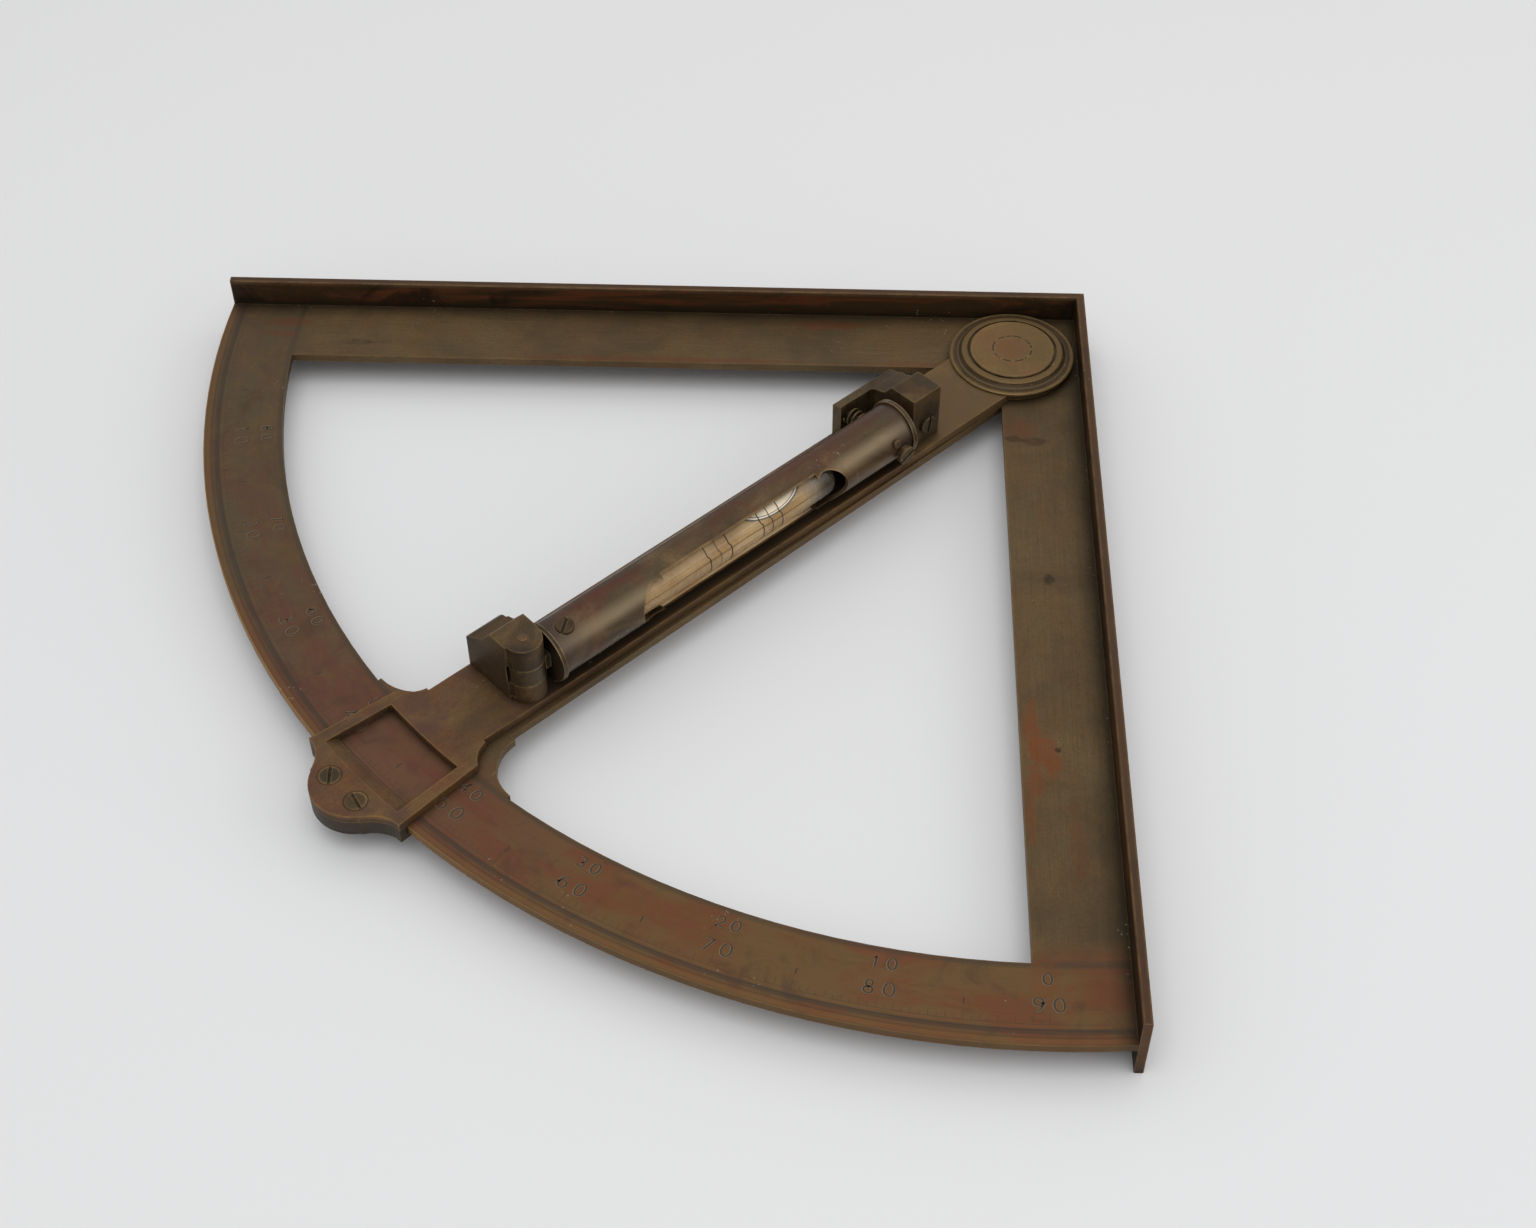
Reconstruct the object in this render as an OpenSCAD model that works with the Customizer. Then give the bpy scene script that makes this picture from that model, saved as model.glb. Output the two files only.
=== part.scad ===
// Quadrant clinometer: an L-shaped brass frame with a divided limb, and an index arm that carries a spirit level.
// The origin is the heel corner of the two edge bars' outer faces, at the bars' lower edges.
// X and Y run along the bars. Along the arm, u is measured from the pivot and v across it.

/* [Edge bars] */
// Length of each edge bar
bar_l = 203; // [180:1:240]
// Height of each edge bar
bar_h = 16; // [14:0.5:22]
// Thickness of each edge bar
bar_t = 1.8; // [1.4:0.1:3]
// Chamfer along the bars' long edges
bar_chamfer = 0.2; // [0.1:0.05:0.4]

/* [Quadrant plate] */
// Height of the plate's top above the bars' lower edges
plate_top = 9.2; // [8:0.1:11]
// Thickness of the plate
plate_t = 1.85; // [1.4:0.05:2.4]
// Distance of the pivot from the outer face of each bar
pivot_in = 17.4; // [17:0.1:24]
// Width of each leg, from the bar's outer face to the leg's inner edge
leg_w = 20.1; // [19:0.1:26]
// Width of the limb that bears the scale
limb_w = 17.65; // [15:0.05:22]
// Width of the diagonal brace
brace_w = 18.2; // [17:0.1:22]
// Radius of the hollow where the brace spreads into the limb
brace_cove_r = 9.7; // [8:0.1:12]
// Width of the small step where that hollow meets the brace
brace_step = 1.4; // [0.8:0.1:1.8]
// Rise of the brace's foot above the limb's inner edge
brace_foot = 2.1; // [1.4:0.1:2.6]
// Flat length of the foot beyond the hollow
brace_flat = 0.8; // [0.4:0.1:1.2]

/* [Index arm] */
// Angle of the arm from the X bar at rest
rest_angle = 44.55; // [40:0.05:50]
// Width of the arm
arm_w = 18; // [16:0.1:20]
// Thickness of the arm
arm_t = 1.8; // [1.4:0.05:2.2]
// Running gap between the plate and the arm
arm_gap = 0.2; // [0.15:0.05:0.4]
// Radius of the arm's round boss at the pivot
boss_r = 13.6; // [12:0.1:14]
// Half angle that the head of the arm spans on the limb
head_angle = 4.55; // [4.2:0.05:4.8]
// Overhang of the head past the limb's inner edge
head_lap = 0.5; // [0.3:0.1:1.5]
// Radius of the hollow where the arm spreads into the head
head_cove_r = 6.2; // [5:0.1:7]
// Width of the small step at the foot of that hollow
head_step = 0.6; // [0.4:0.1:0.9]
// Width of the window's frame on each radial side, in degrees
window_side = 0.85; // [0.7:0.05:1.1]
// Distance of the window from the limb's inner edge
window_in = 2; // [1.5:0.1:3]
// Width of the bevel that bears the vernier
vernier_w = 3; // [2:0.1:4]
// Thickness of the bevel's thin edge
vernier_lip = 0.25; // [0.2:0.05:0.5]

/* [Lobed end] */
// Overhang of the head's square corners past the limb's rim
corner_out = 1.85; // [1.5:0.05:2.5]
// Radius of the round lobe
lobe_r = 9.4; // [8.5:0.1:10]
// Overhang of the lobe's tip past the limb's rim
lobe_out = 9.95; // [9.5:0.05:12]
// Radius of the hollow on each side of the lobe
lobe_cove_r = 9; // [8:0.1:10]
// Clearance between the limb's rim and the guide block
rim_clear = 0.25; // [0.15:0.05:0.5]
// Clearance between the plate's underside and the keeper
keeper_clear = 0.15; // [0.1:0.05:0.4]
// Thickness of the keeper under the limb
keeper_t = 1.3; // [1:0.1:2]
// Reach of the keeper under the limb
keeper_lap = 8; // [4:0.5:12]
// Spacing of the two screws of the lobed end
end_screw_gap = 8.7; // [7:0.1:10]
// Diameter of those screws' heads
end_screw_head = 4.4; // [3.6:0.1:4.8]
// Distance of those screws past the limb's rim
end_screw_out = 3.75; // [3.2:0.05:4.2]

/* [Pivot] */
// Radius of the cap's broad ring
cap_r = 14.45; // [14:0.05:15]
// Thickness of the cap's broad ring
cap_ring_t = 0.6; // [0.5:0.05:1]
// Radius at which the cap's hollow moulding leaves the broad ring
cap_cove_r = 13.5; // [13:0.05:13.5]
// Radius of the bead above that hollow
cap_bead_r = 11.8; // [11.5:0.05:12.2]
// Rise of the hollow above the broad ring
cap_cove_t = 0.8; // [0.5:0.05:1]
// Rise of the bead above the hollow
cap_bead_t = 0.35; // [0.3:0.05:0.6]
// Radius of the cap's top disc
cap_top_r = 9.88; // [9:0.05:10.5]
// Rise of the top disc above the bead
cap_top_t = 0.3; // [0.2:0.05:0.5]
// Width of the groove round the top disc
cap_groove_w = 0.5; // [0.4:0.05:0.7]
// Depth of the groove round the top disc
cap_groove_depth = 0.35; // [0.2:0.05:0.45]
// Radius of the pivot pin
pin_r = 3; // [2:0.1:3.6]
// Radius of the pivot pin's head, let flush into the cap
pin_head_r = 4.45; // [4.2:0.05:5.5]
// Thickness of the pivot pin's head
pin_head_t = 1; // [0.6:0.1:1.4]
// Radius of the dished spring washer under the plate
dish_r = 7.5; // [6:0.1:9]
// Thickness of the dished spring washer
dish_t = 0.5; // [0.4:0.05:0.7]
// Rise of the dished spring washer
dish_rise = 0.6; // [0.4:0.05:0.9]
// Radius of the pivot nut
nut_r = 5.2; // [4.6:0.1:6]
// Height of the pivot nut
nut_h = 2.6; // [2:0.1:3.2]
// Width of the screwdriver slots
slot_w = 0.6; // [0.4:0.05:0.8]

/* [Level] */
// Distance of the level's hinge from the pivot
hinge_u = 147.4; // [140:0.1:150]
// Distance of the level's line from the arm's centre line
level_v = 4.7; // [4:0.1:5.5]
// Gap between the arm and the tube
tube_gap = 1.4; // [1.3:0.05:3]
// Outer radius of the tube
tube_r = 6; // [5.6:0.1:6.4]
// Wall of the tube
tube_wall = 0.8; // [0.6:0.05:0.9]
// Distance of the tube's far flange from the pivot
tube_start = 44.05; // [43.8:0.05:44.3]
// Overhang of the end flanges round the tube
flange_lip = 0.6; // [0.4:0.05:1.1]
// Thickness of the end flanges
flange_t = 1.1; // [0.8:0.1:1.4]
// Depth of the plugs in the tube
plug_depth = 9; // [8:0.5:11]
// Middle of the reading window from the pivot
window_mid = 92.4; // [88:0.2:96]
// Length of the broad part of the reading window
window_l = 43.5; // [36:0.5:50]
// Height of the broad part of the reading window
window_h = 10.3; // [9.9:0.1:10.6]
// Radius of the window's round ends
window_end_r = 4.9; // [4.6:0.05:4.9]
// Distance of the round ends' centres past the broad part
window_end_in = 2.2; // [1.6:0.1:2.6]

/* [Vial] */
// Gap between the vial and the hinge plug
vial_end_gap = 3.2; // [2.2:0.1:5]
// Length of the glass vial
vial_l = 65; // [60:0.5:67]
// Outer radius of the glass vial
vial_r = 4.5; // [4:0.1:4.7]
// Wall of the glass vial
vial_wall = 0.8; // [0.5:0.05:1]
// Length of the bubble
bubble_l = 17; // [10:0.5:24]
// Radius of the bubble's cross section
bubble_r = 1.5; // [1:0.1:1.8]
// Distance of the bubble's middle from the vial's nearer end
bubble_from = 17.5; // [14:0.5:30]
// Length of the bed of plaster at each end of the vial
packing_l = 5; // [3:0.5:6]

/* [Hinge of the level] */
// Radius of the hinge knuckles
knuckle_r = 3.95; // [3.4:0.05:4.2]
// Height of the level's knuckle
knuckle_h = 4.6; // [4:0.1:5]
// Radius of the hinge pin
hinge_pin_r = 1.05; // [0.8:0.05:1.4]
// Rise of the hinge pin's round head
hinge_pin_head = 0.45; // [0.2:0.05:0.6]
// Height of the hinge bracket above the arm
hinge_h = 15.4; // [14:0.1:17]
// Length of the hinge bracket along the arm, outward from the hinge
hinge_out = 4.4; // [4.3:0.1:5]
// Length of the hinge bracket along the arm, inward from the hinge
hinge_in = 4.2; // [4.1:0.1:5.2]
// Width of the tongue between the level's knuckle and its flange
tongue_w = 4.4; // [3:0.1:5]
// Height of that tongue
tongue_h = 3.6; // [3:0.1:3.9]

/* [Adjuster] */
// Distance of the adjusting screw from the pivot
adjust_u = 46.7; // [46.6:0.05:47]
// Drop of the adjusting screw below the tube's centre line
adjust_drop = 1.45; // [0.8:0.05:1.8]
// Radius of the adjusting screw
adjust_r = 1; // [0.8:0.05:1.2]
// Radius of the adjusting screw's head
adjust_head_r = 2.2; // [1.9:0.05:2.25]
// Thickness of the adjusting screw's head
adjust_head_t = 1.4; // [1:0.1:1.8]
// Radius of the middle of the spring's wire round its axis
spring_r = 1.9; // [1.7:0.05:2.2]
// Radius of the spring's wire
spring_wire_r = 0.28; // [0.2:0.02:0.34]
// Turns of the spring
spring_turns = 3.5; // [2.5:0.5:4]
// Nearer end of the adjuster bracket from the pivot
post_start = 31.6; // [30:0.1:32.5]
// Length of the adjuster bracket's block along the arm
post_l = 8.3; // [7:0.1:8.8]
// Height of the adjuster bracket's block above the arm
post_h = 13.75; // [12.6:0.05:15]
// Near face of the adjuster bracket's block from the arm's centre line
post_v = 6.9; // [6:0.1:8]
// Thickness of the adjuster bracket's far wall
wall_t = 2.6; // [2.2:0.1:3]
// Height of the far wall above the arm
wall_h = 8.6; // [8.4:0.1:9.2]
// Length of the far wall along the arm
wall_l = 17.7; // [17:0.1:20]
// Radius of the screw head on the block's near face
post_screw_head_r = 2.1; // [1.6:0.1:2.4]
// Thickness of that head
post_screw_head_t = 1.1; // [0.8:0.1:1.6]
// Height of that screw above the arm
post_screw_h = 5.4; // [5:0.1:8]

/* [Small screws] */
// Radius of the screw head on top of the tube
top_screw_r = 2.05; // [1.6:0.05:2.4]
// Rise of that head above the tube
top_screw_rise = 0.5; // [0.3:0.05:0.8]
// Radius of the small screw on the tube's side
side_screw_r = 0.95; // [0.7:0.05:1]
// Rise of the small screw's head above the tube
side_screw_rise = 0.8; // [0.5:0.05:1]
// Radius of the countersunk heads that hold the brackets from below
base_screw_head_r = 1.9; // [1.6:0.1:2.2]
// Radius of those screws' shanks
base_screw_r = 1; // [0.8:0.05:1.2]
// Depth of those screws in the brackets
base_screw_depth = 4; // [3:0.5:5]

/* [Hidden] */
$fn = 96;
// Facets of the limb's large circles
limb_fn = 720;
// Small overlap that makes cuts pass clean through
eps = 0.01;
// Radial clearance of a fixed pin or screw in its hole
fit = 0.02;
// Radial clearance of a turning pin in its hole
run = 0.05;
// Gap between faces that slide on each other
slide = 0.05;
// Gap between pieces that swing past each other
swing_gap = 0.4;
brass = "#7a5f38";
dark_brass = "#5f4a2c";
steel = "#8a8378";

plate_bottom = plate_top - plate_t;
arm_bottom = plate_top + arm_gap;
arm_top = arm_bottom + arm_t;
limb_out_r = norm([bar_l - pivot_in, pivot_in - bar_t]);
limb_in_r = limb_out_r - limb_w;
head_in_r = limb_in_r - head_lap;
head_out_r = limb_out_r + corner_out;
head_half = head_out_r * sin(head_angle);
neck_half = arm_w / 2 + head_step;
neck_u = head_in_r * cos(head_angle) - head_cove_r * sin(70) + head_step;
window_angle = head_angle - window_side;
window_in_r = limb_in_r + window_in;
vernier_r = limb_out_r - 0.15;
lobe_u = limb_out_r + lobe_out - lobe_r;
keeper_top = plate_bottom - keeper_clear;
keeper_bottom = keeper_top - keeper_t;
cap_bottom = arm_top;
cap_ring_top = cap_bottom + cap_ring_t;
cap_cove_top = cap_ring_top + cap_cove_t;
cap_bead_top = cap_cove_top + cap_bead_t;
cap_top = cap_bead_top + cap_top_t;
dish_top = plate_bottom - slide;
nut_top = dish_top - dish_rise - dish_t;
level_z = arm_top + tube_gap + tube_r;
bore_r = tube_r - tube_wall;
flange_r = tube_r + flange_lip;
bracket_in = hinge_u - hinge_in;
bracket_out = hinge_u + hinge_out;
tube_end = bracket_in - swing_gap - flange_t;
vial_start = tube_end - plug_depth - vial_end_gap - vial_l;
bubble_u = vial_start + bubble_from;
hinge_top = arm_top + hinge_h;
adjust_z = level_z - adjust_drop;
wall_v = -arm_w / 2 + wall_t;
head_v = level_v + tube_r + 3 * slide;
spring_from = wall_v + spring_wire_r + slide;
spring_to = level_v - tube_r - spring_wire_r - 2 * slide;

// A piece placed on the arm at rest: u outward from the pivot, v across the arm
module on_arm() {
    translate([pivot_in, pivot_in, 0])
        rotate([0, 0, rest_angle])
            children();
}

// A piece turned about the level's centre line, its Z along u
module on_level(u) {
    on_arm()
        translate([u, level_v, level_z])
            rotate([0, 90, 0])
                children();
}

// A wedge of the plane about the U axis, half_angle each way
module wedge(half_angle, reach) {
    polygon([[0, 0], [reach, -reach * tan(half_angle)], [reach, reach * tan(half_angle)]]);
}

// A flat sector of a ring about the pivot
module ring_sector(inner, outer, half_angle) {
    intersection() {
        difference() {
            circle(r = outer, $fn = limb_fn);
            circle(r = inner, $fn = limb_fn);
        }
        wedge(half_angle, 2 * outer);
    }
}

// A strip across the arm from u0 to u1 with a hollow of radius r in each side
module cove(u0, u1, half, hollow_u, hollow_v, r) {
    difference() {
        translate([u0, -half])
            square([u1 - u0, 2 * half]);
        for (side = [-1, 1])
            translate([hollow_u, side * hollow_v])
                circle(r = r);
    }
}

// A bar of the profile, mitred at the heel
module edge_bar() {
    difference() {
        rotate([90, 0, 90])
            linear_extrude(bar_l)
                polygon([[0, bar_chamfer], [bar_chamfer, 0], [bar_t - bar_chamfer, 0], [bar_t, bar_chamfer],
                    [bar_t, bar_h - bar_chamfer], [bar_t - bar_chamfer, bar_h], [bar_chamfer, bar_h],
                    [0, bar_h - bar_chamfer]]);
        translate([0, 0, -1])
            linear_extrude(bar_h + 2)
                polygon([[-1, -1], [2 * bar_t, 2 * bar_t], [-1, 2 * bar_t]]);
    }
}

module edge_bar_x() {
    color(dark_brass)
        edge_bar();
}

module edge_bar_y() {
    color(dark_brass)
        mirror([1, -1, 0])
            edge_bar();
}

// The brace with its stepped, hollowed foot on the limb, along U
module brace_outline() {
    foot = limb_in_r - brace_foot;
    spread = brace_w / 2 + brace_step + brace_cove_r;
    foot_half = spread + brace_flat;
    translate([0, -brace_w / 2])
        square([limb_in_r + limb_w / 2, brace_w]);
    cove(foot - brace_cove_r, foot, spread, foot - brace_cove_r, spread, brace_cove_r);
    intersection() {
        translate([foot - eps, -foot_half])
            square([limb_w / 2, 2 * foot_half]);
        circle(r = limb_in_r + 1, $fn = limb_fn);
    }
}

module quadrant_plate() {
    leg_end = pivot_in + limb_in_r + limb_w / 2;
    color(brass)
        translate([0, 0, plate_bottom])
            linear_extrude(plate_t)
                difference() {
                    union() {
                        intersection() {
                            translate([pivot_in, pivot_in])
                                difference() {
                                    circle(r = limb_out_r, $fn = limb_fn);
                                    circle(r = limb_in_r, $fn = limb_fn);
                                }
                            translate([bar_t, bar_t])
                                square(bar_l);
                        }
                        translate([bar_t, bar_t])
                            square([leg_end - bar_t, leg_w - bar_t]);
                        translate([bar_t, bar_t])
                            square([leg_w - bar_t, leg_end - bar_t]);
                        translate([pivot_in, pivot_in])
                            rotate(45)
                                brace_outline();
                    }
                    translate([pivot_in, pivot_in])
                        circle(r = pin_r + run);
                }
}

// The head of the arm: sector over the limb, then the hollows and the round lobe
module head_outline() {
    cove_u = lobe_u + lobe_r;
    cove_v = head_half + 1.1;
    ring_sector(head_in_r, head_out_r, head_angle);
    translate([lobe_u, 0])
        circle(r = lobe_r);
    cove(limb_out_r, cove_u - lobe_r * 0.44, head_half - 0.2, cove_u, cove_v, lobe_cove_r);
}

module arm_outline() {
    cove_end = head_in_r + 1;
    cove_half = head_in_r * sin(head_angle);
    circle(r = boss_r);
    translate([0, -arm_w / 2])
        square([cove_end, arm_w]);
    cove(neck_u, cove_end, cove_half, neck_u - 1, neck_half + head_cove_r, head_cove_r);
    head_outline();
}

module index_arm() {
    color(brass)
        on_arm()
            difference() {
                translate([0, 0, arm_bottom])
                    linear_extrude(arm_t)
                        arm_outline();
                rotate([0, 0, -window_angle])
                    rotate_extrude(angle = 2 * window_angle, $fn = limb_fn)
                        polygon([[window_in_r, arm_bottom - 1], [window_in_r, arm_top + 1],
                            [vernier_r, arm_top + 1], [vernier_r, arm_top],
                            [vernier_r - vernier_w, arm_bottom + vernier_lip],
                            [vernier_r - vernier_w, arm_bottom - 1]]);
                translate([0, 0, arm_bottom - 1])
                    cylinder(r = pin_r + fit, h = arm_t + 2);
                end_screw_places()
                    screw_hole(end_screw_head / 2, base_screw_r, arm_t + 1);
                bracket_screw_places()
                    mirror([0, 0, 1])
                        screw_hole(base_screw_head_r, base_screw_r, arm_t + 1);
            }
}

// A countersunk hole below the plane z = 0
module screw_hole(head_r, shank_r, depth) {
    translate([0, 0, -depth])
        cylinder(r = shank_r + fit, h = depth + 1);
    translate([0, 0, shank_r - head_r])
        cylinder(r1 = shank_r + fit, r2 = head_r + fit, h = head_r - shank_r + eps);
    translate([0, 0, 0])
        cylinder(r = head_r + fit, h = 1);
}

// A countersunk, slotted screw whose head lies flush with the plane z = 0
module flat_screw(head_r, shank_r, length, turn) {
    head_t = head_r - shank_r;
    difference() {
        union() {
            translate([0, 0, -length])
                cylinder(r = shank_r, h = length - head_t + eps);
            translate([0, 0, -head_t])
                cylinder(r1 = shank_r, r2 = head_r, h = head_t);
        }
        rotate([0, 0, turn])
            translate([-head_r - 1, -slot_w / 2, -slot_w])
                cube([2 * head_r + 2, slot_w, slot_w + 1]);
    }
}

// A slotted cheese-head screw with the head's seat in the plane z = 0
module cheese_screw(head_r, head_t, shank_r, length, turn) {
    difference() {
        union() {
            translate([0, 0, -length])
                cylinder(r = shank_r, h = length + eps);
            cylinder(r = head_r, h = head_t - 0.2);
            translate([0, 0, head_t - 0.2])
                cylinder(r1 = head_r, r2 = head_r - 0.2, h = 0.2);
        }
        rotate([0, 0, turn])
            translate([-head_r - 1, -slot_w / 2, head_t - slot_w])
                cube([2 * head_r + 2, slot_w, slot_w + 1]);
    }
}

// The two screws of the lobed end, at the top of the arm
module end_screw_places() {
    for (side = [-1, 1])
        translate([limb_out_r + end_screw_out, side * end_screw_gap / 2, arm_top])
            children();
}

// The screws that hold the two brackets, at the underside of the arm
module bracket_screw_places() {
    hinge_screw_places()
        children();
    post_screw_places()
        children();
}

module hinge_screw_places() {
    for (v = [-arm_w / 2 + 2.8, -arm_w / 2 + 7.6])
        translate([hinge_u, v, arm_bottom])
            children();
}

module post_screw_places() {
    for (v = [-arm_w / 2 + 3.4, post_v - 3.4])
        translate([post_start + post_l / 2, v, arm_bottom])
            children();
}

// The hollow and the bead of the cap's moulding, from the broad ring inward
bead_in_r = cap_top_r + cap_groove_w;
cap_moulding = [
    for (a = [0 : 15 : 90])
        [cap_cove_r - (cap_cove_r - cap_bead_r) * sin(a), cap_ring_top + cap_cove_t * (1 - cos(a))],
    for (a = [15 : 15 : 90])
        [bead_in_r + (cap_bead_r - bead_in_r) * cos(a), cap_cove_top + cap_bead_t * sin(a)]];

module pivot_cap() {
    quirk = 0.15;
    color(brass)
        on_arm()
            rotate_extrude()
                polygon(concat(
                    [[pin_r + fit, cap_bottom], [cap_r, cap_bottom], [cap_r, cap_ring_top - 0.2],
                        [cap_r - 0.3, cap_ring_top], [cap_cove_r + quirk, cap_ring_top],
                        [cap_cove_r + quirk, cap_ring_top - quirk], [cap_cove_r, cap_ring_top - quirk]],
                    cap_moulding,
                    [[bead_in_r, cap_bead_top - cap_groove_depth], [cap_top_r, cap_bead_top - cap_groove_depth],
                        [cap_top_r, cap_top - 0.25], [cap_top_r - 0.3, cap_top], [pin_head_r + fit, cap_top],
                        [pin_head_r + fit, cap_top - pin_head_t], [pin_r + fit, cap_top - pin_head_t]]));
}

module pivot_pin() {
    color(dark_brass)
        on_arm()
            rotate_extrude()
                polygon([[0, nut_top - nut_h], [pin_r - 0.3, nut_top - nut_h], [pin_r, nut_top - nut_h + 0.3],
                    [pin_r, cap_top - pin_head_t], [pin_head_r, cap_top - pin_head_t],
                    [pin_head_r, cap_top - 0.05], [pin_head_r - 0.1, cap_top], [0, cap_top]]);
}

module pivot_washer() {
    color(steel)
        on_arm()
            translate([0, 0, plate_top + slide])
                linear_extrude(arm_gap - slide)
                    difference() {
                        circle(r = boss_r - 1);
                        circle(r = pin_r + fit);
                    }
}

module pivot_spring_washer() {
    color(steel)
        on_arm()
            rotate_extrude()
                polygon([[pin_r + fit, dish_top - dish_rise - dish_t], [pin_r + 1, dish_top - dish_rise - dish_t],
                    [dish_r, dish_top - dish_t], [dish_r, dish_top], [dish_r - 0.6, dish_top],
                    [pin_r + fit, dish_top - dish_rise]]);
}

module pivot_nut() {
    color(dark_brass)
        on_arm()
            difference() {
                rotate_extrude()
                    polygon([[pin_r + fit, nut_top - nut_h], [nut_r - 0.4, nut_top - nut_h],
                        [nut_r, nut_top - nut_h + 0.4], [nut_r, nut_top], [pin_r + fit, nut_top]]);
                translate([-nut_r - 1, -slot_w, nut_top - nut_h - 1])
                    cube([2 * nut_r + 2, 2 * slot_w, 2]);
            }
}

module limb_block() {
    color(brass)
        on_arm()
            difference() {
                translate([0, 0, keeper_top])
                    linear_extrude(arm_bottom - keeper_top)
                        difference() {
                            head_outline();
                            circle(r = limb_out_r + rim_clear, $fn = limb_fn);
                        }
                end_screw_places()
                    screw_hole(end_screw_head / 2, base_screw_r, arm_top);
            }
}

module keeper_plate() {
    color(brass)
        on_arm()
            difference() {
                translate([0, 0, keeper_bottom])
                    linear_extrude(keeper_t)
                        difference() {
                            head_outline();
                            circle(r = limb_out_r - keeper_lap, $fn = limb_fn);
                        }
                end_screw_places()
                    screw_hole(end_screw_head / 2, base_screw_r, arm_top);
            }
}

module index_screws() {
    length = arm_top - keeper_bottom;
    color(steel)
        on_arm() {
            translate([limb_out_r + end_screw_out, end_screw_gap / 2, arm_top])
                flat_screw(end_screw_head / 2, base_screw_r, length, 78);
            translate([limb_out_r + end_screw_out, -end_screw_gap / 2, arm_top])
                flat_screw(end_screw_head / 2, base_screw_r, length, 50);
        }
}

// The moulded shape of the hinge bracket, looking along the arm, with v to the right
module hinge_profile() {
    far = -arm_w / 2;
    polygon([[far, 0], [far, hinge_h * 0.54], [far + 0.9, hinge_h * 0.595], [far + 2.8, hinge_h * 0.64],
        [far + 3, hinge_h * 0.675], [far + 5, hinge_h * 0.725], [far + 7.9, hinge_h * 0.955],
        [far + 8.5, hinge_h], [level_v - 0.2, hinge_h], [level_v - 0.2, 0]]);
}

module hinge_bracket() {
    knuckle_gap = 0.1;
    color(brass)
        on_arm()
            difference() {
                union() {
                    translate([bracket_in, 0, arm_top])
                        rotate([90, 0, 90])
                            linear_extrude(bracket_out - bracket_in)
                                hinge_profile();
                    translate([hinge_u, level_v, arm_top])
                        cylinder(r = knuckle_r, h = hinge_h);
                }
                translate([hinge_u, level_v, level_z - knuckle_h / 2 - knuckle_gap])
                    cylinder(r = knuckle_r + swing_gap, h = knuckle_h + 2 * knuckle_gap);
                translate([bracket_in - 1, level_v - tongue_w / 2 - swing_gap, level_z - knuckle_h / 2 - knuckle_gap])
                    cube([hinge_in + 1, tongue_w + knuckle_r, knuckle_h + 2 * knuckle_gap]);
                translate([hinge_u, level_v, arm_top - 1])
                    cylinder(r = hinge_pin_r + fit, h = hinge_h + 2);
                translate([bracket_out, level_v + 0.3, arm_top + 1])
                    cylinder(r = 0.8, h = hinge_h - 4);
                hinge_screw_places()
                    mirror([0, 0, 1])
                        screw_hole(base_screw_head_r, base_screw_r, arm_t + base_screw_depth);
            }
}

module hinge_pin() {
    color("#a8663c")
        on_arm()
            translate([hinge_u, level_v, 0])
                rotate_extrude()
                    polygon([[0, arm_top + slide], [hinge_pin_r, arm_top + slide],
                        [hinge_pin_r, hinge_top + hinge_pin_head * 0.4],
                        [hinge_pin_r * 0.85, hinge_top + hinge_pin_head * 0.75],
                        [hinge_pin_r * 0.45, hinge_top + hinge_pin_head], [0, hinge_top + hinge_pin_head]]);
}

module hinge_bracket_screws() {
    color(steel)
        on_arm()
            hinge_screw_places()
                mirror([0, 0, 1])
                    flat_screw(base_screw_head_r, base_screw_r, arm_t + base_screw_depth - 0.2, 20);
}

// The shape of the adjuster bracket's far wall, looking along the arm, with v to the right
function wall_points() =
    let (far = -arm_w / 2)
    [[far, 0], [far, wall_h], [far + 0.3, wall_h + 0.25], [wall_v, wall_h + 0.75]];

// The stepped shape of its block
function post_points() = [[wall_v + 1.1, wall_h + 1.4], [wall_v + 3.4, wall_h + 2.05],
    [wall_v + 4.3, wall_h + 2.5], [wall_v + 6, post_h - 0.45], [wall_v + 6.4, post_h - 0.2],
    [post_v, post_h], [post_v, 0]];

module adjuster_bracket() {
    color(brass)
        on_arm()
            difference() {
                translate([post_start, 0, arm_top])
                    rotate([90, 0, 90]) {
                        linear_extrude(post_l)
                            polygon(concat(wall_points(), post_points()));
                        linear_extrude(wall_l)
                            polygon(concat(wall_points(), [[wall_v, 0]]));
                    }
                translate([adjust_u, 0, adjust_z])
                    rotate([90, 0, 0])
                        cylinder(r = adjust_r + run, h = arm_w);
                at_post_screw()
                    translate([0, 0, -9])
                        cylinder(r = base_screw_r + fit, h = 10);
                post_screw_places()
                    mirror([0, 0, 1])
                        screw_hole(base_screw_head_r, base_screw_r, arm_t + base_screw_depth);
            }
}

// The seat of the screw on the block's near face: Z points out of the face
module at_post_screw() {
    translate([post_start + post_l / 2, post_v, arm_top + post_screw_h])
        rotate([-90, 0, 0])
            children();
}

module post_screw() {
    color(steel)
        on_arm()
            at_post_screw()
                cheese_screw(post_screw_head_r, post_screw_head_t, base_screw_r, 7, 80);
}

module adjuster_bracket_screws() {
    color(steel)
        on_arm()
            post_screw_places()
                mirror([0, 0, 1])
                    flat_screw(base_screw_head_r, base_screw_r, arm_t + base_screw_depth - 0.2, 55);
}

// The adjusting screw, from its head at the tube's near side to the bracket's far wall
module adjuster_screw() {
    color(steel)
        on_arm()
            translate([adjust_u, head_v, adjust_z])
                rotate([-90, 0, 0])
                    cheese_screw(adjust_head_r, adjust_head_t, adjust_r, head_v + arm_w / 2 - 1.2, 24);
}

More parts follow.
